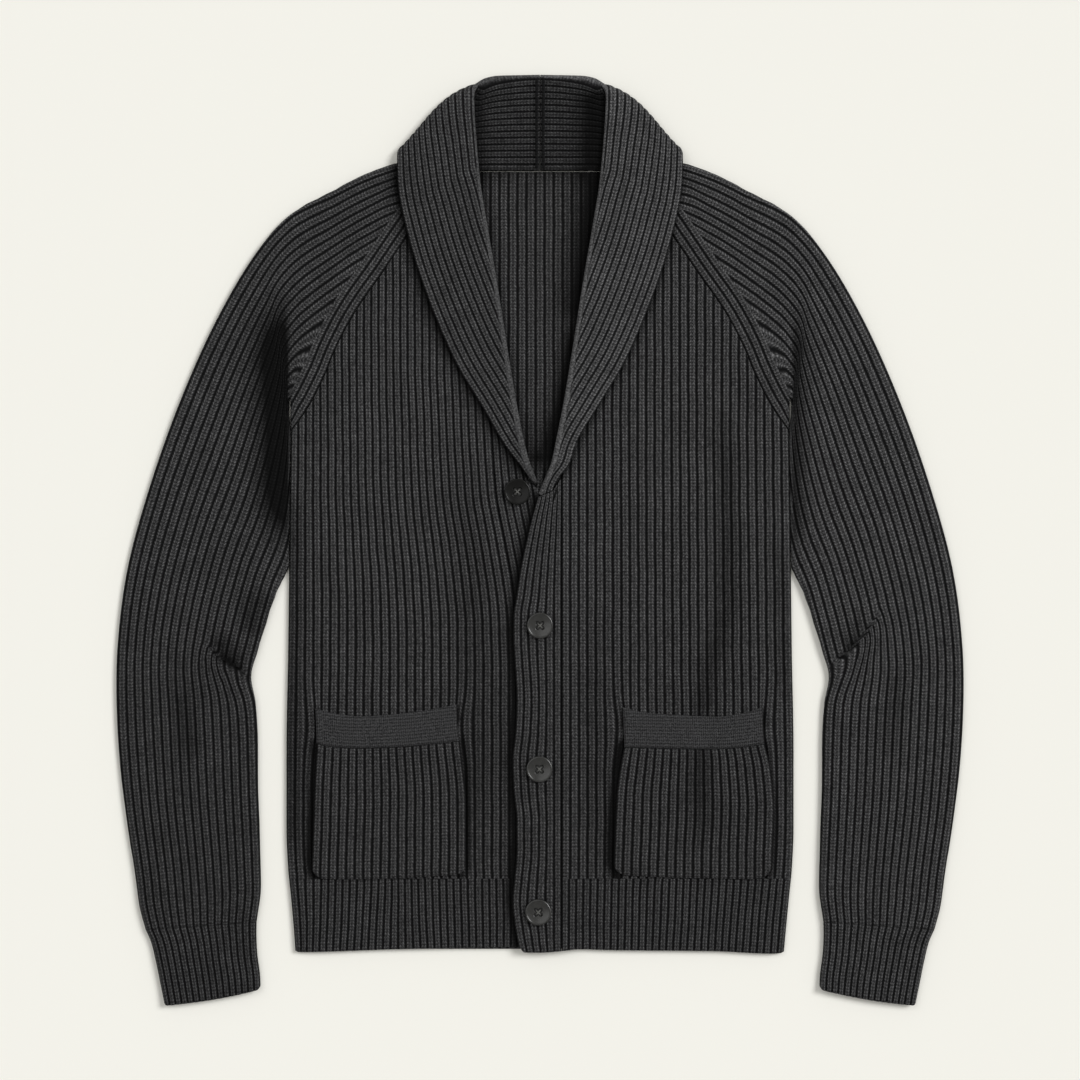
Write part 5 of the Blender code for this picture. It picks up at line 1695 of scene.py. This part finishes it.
TIP_ROWS = {
    Hand.LEFT: (
        (415, 12.3, 70.5, 7.25, 20.2, 71, 9.3, 16.6, 69.5, 5.2, 2.05, 180, 15),
        (435, 4.8, 52, 7.25, 9.2, 56, 9.3, 8.2, 55.5, 5.2, 2.05, 180, 30),
    ),
    Hand.RIGHT: (
        (414, 13.4, 71, 7.25, 27, 69.5, 9.3, 17.5, 69.8, 5.2, 2.05, 180, 12),
        (429, 8.0, 57.5, 7.25, 18, 58, 9.3, 12.6, 57.5, 5.2, 2.05, 180, 20),
        (444, 2.0, 43.3, 7.25, 12.3, 47.6, 9.3, 9.5, 46.5, 5.2, 2.05, 180, 25),
        (448, 1.0, 41.2, 7.25, 11.9, 46.0, 9.3, 8.9, 45.0, 5.2, 2.05, 180, 25),
    ),
}


@dataclass
class CollarHalf:
    """Half of the shawl collar, from the middle of the back to where it meets the button band.

    Its middle surface is a stand that runs straight from the neck seam to the roll, a half circle
    that is the roll, and a fall that runs straight from the roll to the free edge. The face that
    shows lies half a wall and a rib's height outside it, along the surface's normal.
    """

    hand: Hand
    finishes: Finishes
    stand_ribs: int = 14
    lapel_ribs: int = 12
    lapel_pitch: float = 6.6
    crowded: float = 0.02
    row_step: float = 5.0
    wall: float = 2.0
    roll_columns: int = 7
    fold_from: float = 62.0        # the collar turns over between these places along it
    fold_to: float = 100.0
    fold_step: float = 1.5
    ramp: float = 9.0              # the stand rises from the neck seam over this width
    arch: float = 8.0              # how far the stand's top ribs come down at the sides
    arch_x: float = 58.0           # this far from the middle
    arch_to: Step = (60.0, 15.0)   # along the collar, where that ends
    back_ribs: Step = (110.0, 60.0)   # turn of the collar, in degrees, where the stand's end
    front_ribs: Step = (15.0, 50.0)   # and where the lapel's start
    room_step: Step = (0.15, 0.3)     # room between two rib lines that lets a rib stand
    lowest: float = 0.1            # height over the table that no point goes below
    plain_top: float = 2.2         # smooth roll above the stand's top rib
    # Painted shade on the stand, and on the lapels: deeper on the left one, and below 0, painted
    # light on the right one, as the key light comes from the right.
    stand_shade: float = 0.23
    lapel_shade: dict[Hand, float] = field(default_factory=lambda: {
        Hand.LEFT: 0.14, Hand.RIGHT: -0.19})
    roll_shade: float = 0.12       # painted shade on the smooth knit of the roll
    tip_shade: float = 0.25        # painted shade on the lapel's tip, close to the button band
    tip_from: Step = (405.0, 35.0)
    plain_share: float = 0.72      # how flat the stitches on the roll are drawn

    def rows(self) -> Table:
        """Dense rows: every column of the collar's table, read along it."""
        tab = table(COLLAR_COLUMNS, *(COLLAR_ROWS + TIP_ROWS[self.hand]))
        last = tab["at"][-1]
        at = np.concatenate((np.arange(0, self.fold_from, self.row_step),
                             np.arange(self.fold_from, self.fold_to, self.fold_step),
                             np.arange(self.fold_to + 2, last, self.row_step), [last]))
        return {name: follow(tab, at, name) for name in tab}

    def lapel_lines(self, width: Array) -> tuple[Array, Array, Array]:
        """Distances of the lapel's rib lines from its free edge, the nearest one last.

        Ribs run parallel to the free edge. Where the lapel narrows, those that find no room run
        out side by side along the roll.
        """
        lines, wale = COLLAR_RIB.lines(self.lapel_ribs)
        number = lines[::-1]
        pitch = np.maximum(self.lapel_pitch, width / self.lapel_ribs)
        crowd = width - self.crowded * np.arange(len(number))[None, :]
        return np.minimum(number[None, :] * pitch, crowd), wale[::-1], lines

    def middle(self) -> tuple[Array, Array, Array, Array, Table]:
        """Middle surface, rib count, wale numbers and rib strength, each on the grid."""
        tab = self.rows()
        stand_lines, stand_wale = COLLAR_RIB.lines(self.stand_ribs)
        roll_at = np.linspace(0, 1, self.roll_columns + 2)[1:-1]
        roll, edge, neck = (np.stack([tab[f"{line}_{c}"] for c in "xyz"], axis=-1)
                            for line in ("roll", "edge", "neck"))
        turn = np.radians(tab["turn"])[:, None]
        way = np.radians(tab["bulge"])
        bulge = np.stack((-np.cos(way), np.sin(way), 0 * way), axis=-1)
        beside = np.stack((-np.sin(way), -np.cos(way), 0 * way), axis=-1)
        upward = np.array((0.0, 0.0, 1.0))
        arm = (upward * np.cos(turn) + beside * np.sin(turn)) * tab["radius"][:, None]
        from_stand, to_fall = roll + arm, roll - arm
        share = stand_lines / self.stand_ribs
        stand = neck[:, None] + (from_stand - neck)[:, None] * share[None, :, None]
        reach = np.linalg.norm(from_stand - neck, axis=1)[:, None]
        ramp = ease(share[None, :] * reach / self.ramp)
        stand[..., 2] = neck[:, 2, None] + (from_stand - neck)[:, 2, None] * ramp
        on_back = 1 - rising(tab["at"], *self.arch_to)
        arch = self.arch * (roll[:, 0] / self.arch_x) ** 2 * on_back
        stand[..., 1] -= (arch + self.plain_top)[:, None] * share[None, :] ** 2
        angle = roll_at[None, :, None] * np.pi
        bend = roll[:, None] + arm[:, None] * np.cos(angle)
        bend = bend + bulge[:, None] * tab["radius"][:, None, None] * np.sin(angle)
        width = np.linalg.norm(edge - to_fall, axis=1)[:, None]
        away, lapel_wale, lapel_lines = self.lapel_lines(width)
        along = 1 - away / width
        fall = to_fall[:, None] + (edge - to_fall)[:, None] * along[..., None]
        belly = follow(BELLY, tab["at"])[:, None] * CUBIC_TOP * along
        fall = fall + (belly * (1 - along) ** 2)[..., None] * np.array(BELLY_WAY)
        points = np.concatenate((stand, bend, fall), axis=1)
        spacing = np.abs(np.diff(away, axis=1))
        room = np.concatenate((spacing[:, :1], spacing), axis=1)
        local = np.stack([np.convolve(r, np.ones(9) / 9, mode="same") for r in room])
        back = falling(tab["turn"], *self.back_ribs)[:, None]
        front = rising(tab["turn"], *self.front_ribs)[:, None]
        front = front * (1 - 0.6 * hump(tab["turn"] - 90.0, 50.0))[:, None]
        strength = np.concatenate((back * np.ones_like(share)[None, :],
                                   np.zeros((len(roll), len(roll_at))),
                                   front * rising(local, *self.room_step)), axis=1)
        wales = np.concatenate((stand_wale, np.full(len(roll_at), 0.55), lapel_wale))
        ribs = np.concatenate((stand_lines, self.stand_ribs + roll_at,
                               self.stand_ribs + 1 + lapel_lines))
        return points, ribs, wales, strength, tab

    def build(self) -> None:
        """Builds the half collar."""
        label, side = self.hand.label, self.hand.value
        middle, ribs, wales, strength, tab = self.middle()
        normal = surface_normals(middle)
        wale = np.broadcast_to(wales, strength.shape)
        soft = 0.25 * wander(middle[..., 0], middle[..., 1], 70.0, 8.0 + side)
        height = self.wall / 2 + COLLAR_RIB.rise(wale) * strength + soft * ease(strength)
        outer = middle + normal * height[..., None]
        inner = middle - normal * (self.wall / 2)
        for face_points in (outer, inner):
            np.maximum(face_points[..., 2], self.lowest, out=face_points[..., 2])
        stand_columns = self.stand_ribs * LINES_A_RIB + 1
        course = np.concatenate((courses_along(middle[:, :stand_columns]),
                                 courses_along(middle[:, stand_columns:])), axis=1)
        flat_wale = np.where(strength > 0.05, wale, 0.5)
        # Painted shade: the stand's, and the lapel's with its roll and its tip.
        plain = 1 - np.clip(strength, 0, 1)
        painted_tip_shade = self.tip_shade * rising(tab["at"], *self.tip_from)[:, None]
        shade = np.where(
            np.arange(wale.shape[1]) < stand_columns,
            self.stand_shade + shade_at(PAINTED_NECK_SHADE, side * middle[..., 0], middle[..., 1]),
            self.lapel_shade[self.hand] + self.roll_shade * plain + painted_tip_shade)
        face = KnitFace(outer, np.broadcast_to(ribs, wale.shape), flat_wale, course,
                        np.minimum(shade, DEEPEST), self.plain_share * plain)
        self.hand.place(outer, inner)
        piece = sheet_object(f"collar_{label}_knit", face, inner, self.finishes.rib,
                             mirrored=self.hand is Hand.RIGHT)
        settle(piece, f"collar_{label}", (0.17, 0.46), 0.045, (f"front_{label}", "back_panel"))


# ---------------------------------------------------------------- buttons and sewing

BUTTONS = table("x y over", (-20.7, 44.2, 0), (0.0, -78.3, 1), (-0.5, -209.9, 1),
                (-1.6, -340.9, 1))


def bead(path: Array, radius: Array | float, sides: int = 8) -> MeshMaker:
    """Round bead along an open path, closed by drawing both ends in to a point.

    Each ring lies across the path: centre + radius * (cos a * side + sin a * up), where side is
    across the path and up is square to both.

    Args:
        path: points along the bead's middle, (n, 3), mm.
        radius: one radius, or one for each point.
        sides: points round the bead.
    """
    along = np.gradient(path, axis=0)
    along /= np.linalg.norm(along, axis=1, keepdims=True)
    side = np.cross(along, (0.0, 0.0, 1.0))
    side /= np.maximum(np.linalg.norm(side, axis=1, keepdims=True), 1e-6)
    up = np.cross(side, along)
    angle = np.linspace(0, 2 * np.pi, sides, endpoint=False)
    size = np.broadcast_to(np.asarray(radius, dtype=float), len(path)).copy()
    size[[0, -1]] = 0.01
    ring = size[:, None, None] * (np.cos(angle)[None, :, None] * side[:, None]
                                  + np.sin(angle)[None, :, None] * up[:, None])
    maker = MeshMaker()
    maker.grid(bare_face(path[:, None] + ring), around=True)
    return maker


def merge(makers: list[MeshMaker]) -> MeshMaker:
    """One mesh maker that holds the grids of several."""
    whole = MeshMaker()
    for maker in makers:
        whole.points += maker.points
        whole.values += maker.values
        whole.quads += [q + whole.count for q in maker.quads]
        whole.count += maker.count
    return whole


@dataclass
class Button:
    """Four-hole button with a raised rim, and the thread that sews it on.

    The disc is turned: its height is a function of the radius, flat below, a rounded rim and a
    dished middle above. The holes are pits in that surface, darkened by painted shade, and the
    thread is a cross of two double strands through them.
    """

    number: int
    finishes: Finishes
    radius: float = 12.0
    thickness: float = 3.6
    rim: float = 1.5
    dish: float = 1.5
    step: float = 0.35
    hole_radius: float = 1.7
    hole_reach: float = 2.9
    pit: float = 2.3
    corners: int = 96
    strand: float = 0.26           # radius of a strand of the thread
    strand_gap: float = 0.24       # half the distance between the two of a pair
    strand_lift: float = 0.75      # how high they pass over the dish
    strand_cross: float = 0.3      # and how much higher the upper pair
    under_lapel_shade: float = 0.70      # painted shade on the top button, beside the lapels' tips

    def top(self, x: Array, y: Array) -> Array:
        """Height of the upper face at a place, from the button's middle."""
        r = np.hypot(x, y)
        inner = self.radius - self.rim
        bowl = (self.dish - self.step) * (1 - np.clip(r / inner, 0, 1) ** 2)
        step = self.step * ease((inner - r) / 0.6 + 0.5)
        crown = 0.9 * (1 - rounded(self.radius - r, 1.5))
        return self.thickness - bowl - step - crown - self.pit * self.hole(x, y)

    def hole(self, x: Array, y: Array) -> Array:
        """1 inside one of the four holes, 0 outside."""
        inside = np.zeros(np.shape(x))
        for quarter in range(4):
            a = math.pi / 4 + quarter * math.pi / 2
            far = np.hypot(x - self.hole_reach * math.cos(a), y - self.hole_reach * math.sin(a))
            inside = np.maximum(inside, 1 - rising(far - self.hole_radius, -0.3, 0.45))
        return inside

    def disc(self, x0: float, y0: float, z0: float) -> MeshMaker:
        """The turned disc: rings from the middle of the top, over the rim, to the underside."""
        angle = np.linspace(0, 2 * np.pi, self.corners, endpoint=False)
        radii = np.concatenate((np.linspace(0.02, 4.4, 26), np.linspace(4.9, 8.6, 6),
                                np.linspace(8.9, self.radius - 1.2, 8),
                                self.radius - np.array((0.9, 0.6, 0.3, 0.12, 0.0))))
        x, y = radii[:, None] * np.cos(angle), radii[:, None] * np.sin(angle)
        top = np.stack((x, y, self.top(x, y)), axis=-1)
        edge_r = np.array((0.0, 0.15, 0.5, 1.1, 3.0, self.radius - 0.02))
        edge_z = np.array((1.6, 0.9, 0.35, 0.1, 0.0, 0.0))
        low_r = (self.radius - edge_r)[:, None]
        low = np.stack((low_r * np.cos(angle), low_r * np.sin(angle),
                        edge_z[:, None] + 0 * angle), axis=-1)
        points = np.concatenate((top, low)) + np.array((x0, y0, z0))
        # Painted shade in the holes, and over the whole top button beside the lapels' tips.
        painted_shade = np.zeros(points.shape[:2])
        painted_shade[:len(top)] = np.maximum(self.hole(x, y), self.under_lapel_shade * (self.number == 0))
        maker = MeshMaker()
        maker.grid(bare_face(points, painted_shade), around=True)
        return maker

    def thread(self, x0: float, y0: float, z0: float) -> MeshMaker:
        """Two crossed double strands, each an arch from hole to opposite hole."""
        strands = []
        t = np.linspace(-1, 1, 21)
        reach = (self.hole_reach + 0.15) * t
        dished = self.thickness - self.dish
        for turn, raised in ((math.pi / 4, 0.0), (3 * math.pi / 4, self.strand_cross)):
            way = np.array((math.cos(turn), math.sin(turn)))
            lift = dished + self.strand_lift - 2.4 * np.abs(t) ** 5
            lift = lift + raised * (1 - np.abs(t))
            for beside in (-self.strand_gap, self.strand_gap):
                plan = reach[:, None] * way + np.array((-way[1], way[0])) * beside
                path = np.column_stack((plan + np.array((x0, y0)), lift + z0))
                strands.append(bead(path, self.strand))
        return merge(strands)

    def build(self) -> None:
        """Builds the button and its thread."""
        x0, y0, over = (BUTTONS[c][self.number] for c in ("x", "y", "over"))
        place = (x0, y0, FRONT_Z + over * BAND_STEP + WALL + RIB + SEAM)
        node = f"button_{self.number + 1}"
        settle(self.disc(*place).make(f"{node}_disc", self.finishes.resin), node,
               slot="button_plastic")
        thread = self.thread(*place).make(f"{node}_thread", self.finishes.thread)
        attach(thread, "root")


@dataclass
class Sewing:
    """What is sewn on the collar: the seam in the middle of its back."""

    finishes: Finishes
    beside: float = 3.0            # how far from the middle each row of stitches runs
    start_y: float = 341.5
    end_y: float = 424.0
    height: float = 6.2
    swing: float = 0.25            # how much a stitch swells and leans
    radius: float = 1.25

    def build(self) -> None:
        """Builds the seam: a chain of small stitches on each side of the middle."""
        makers = []
        y = np.linspace(self.start_y, self.end_y, 280)
        swell = self.swing * np.sin(2 * np.pi * y / COURSE)
        z = self.height + 0.55 * rising(y, 341.0, 8.0) + swell
        for x in (-self.beside, self.beside):
            makers.append(bead(np.column_stack((x + swell, y, z)), self.radius + swell))
        seam = merge(makers).make("collar_back_seam", self.finishes.rib)
        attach(seam, "root")


# ---------------------------------------------------------------- floor, light and camera

@dataclass
class Studio:
    """Plain floor, soft light from all round with more from the right, and the camera."""

    finishes: Finishes
    picture: float = 1080.0
    mm_per_pixel: float = 0.92
    camera_height: float = 3.0
    sensor_mm: float = 36.0
    floor_half: float = 4000.0
    floor_below: float = 0.3
    sky: str = "#fbfaf7"
    sky_strength: float = 0.40

    def floor(self) -> None:
        """A flat board just under the garment."""
        maker = MeshMaker()
        at = np.linspace(-self.floor_half, self.floor_half, 5)
        x, y = np.meshgrid(at, at)
        z = np.full_like(x, -self.floor_below)
        maker.grid(bare_face(np.stack((x, y, z), axis=-1)))
        board = maker.make("floor", self.finishes.floor)

    def soft_light(self, name: str, place: tuple[float, float, float], spread: float,
                   strength: float) -> None:
        """Far, wide, soft light that faces the garment's middle."""
        data = bpy.data.lights.new(name, 'SUN')
        data.angle = spread
        data.energy = strength
        light = bpy.data.objects.new(name, data)
        x, y, z = place
        light.location = place
        light.rotation_euler = (math.atan2(math.hypot(x, y), z), 0.0,
                                math.atan2(y, x) + math.pi / 2)
        bpy.context.scene.collection.objects.link(light)

    def world(self) -> None:
        """Even off-white surroundings."""
        world = bpy.data.worlds.new("studio")
        world.use_nodes = True
        background = world.node_tree.nodes["Background"]
        background.inputs["Color"].default_value = linear(self.sky)
        background.inputs["Strength"].default_value = self.sky_strength
        bpy.context.scene.world = world

    def camera(self) -> None:
        """Camera straight above, with the picture's scale at the garment."""
        data = bpy.data.cameras.new("camera")
        data.sensor_width = self.sensor_mm
        data.lens = self.sensor_mm * self.camera_height / (
            self.picture * self.mm_per_pixel * MM)
        camera = bpy.data.objects.new("camera", data)
        camera.location = (0.0, 0.0, self.camera_height)
        bpy.context.scene.collection.objects.link(camera)
        bpy.context.scene.camera = camera

    def build(self) -> None:
        """Builds the floor, the lights, the surroundings and the camera."""
        self.floor()
        self.soft_light("key", (1.7, 0.9, 2.0), 0.45, 1.95)
        self.soft_light("fill", (-1.2, 0.9, 2.6), 0.9, 0.62)
        self.world()
        self.camera()
        bpy.context.scene.view_settings.view_transform = 'Standard'


def main() -> None:
    """Builds the garment piece by piece, then the studio."""
    logging.basicConfig(level=logging.INFO)
    finishes = Finishes()
    Back(finishes).build()
    for hand in Hand:
        Front(hand, finishes).build()
        Pocket(hand, finishes).build()
        Sleeve(hand, finishes).build()
    ButtonBands(finishes).build()
    for hand in Hand:
        CollarHalf(hand, finishes).build()
    for number in range(len(BUTTONS["x"])):
        Button(number, finishes).build()
    Sewing(finishes).build()
    Studio(finishes).build()


if __name__ == "__main__":
    main()
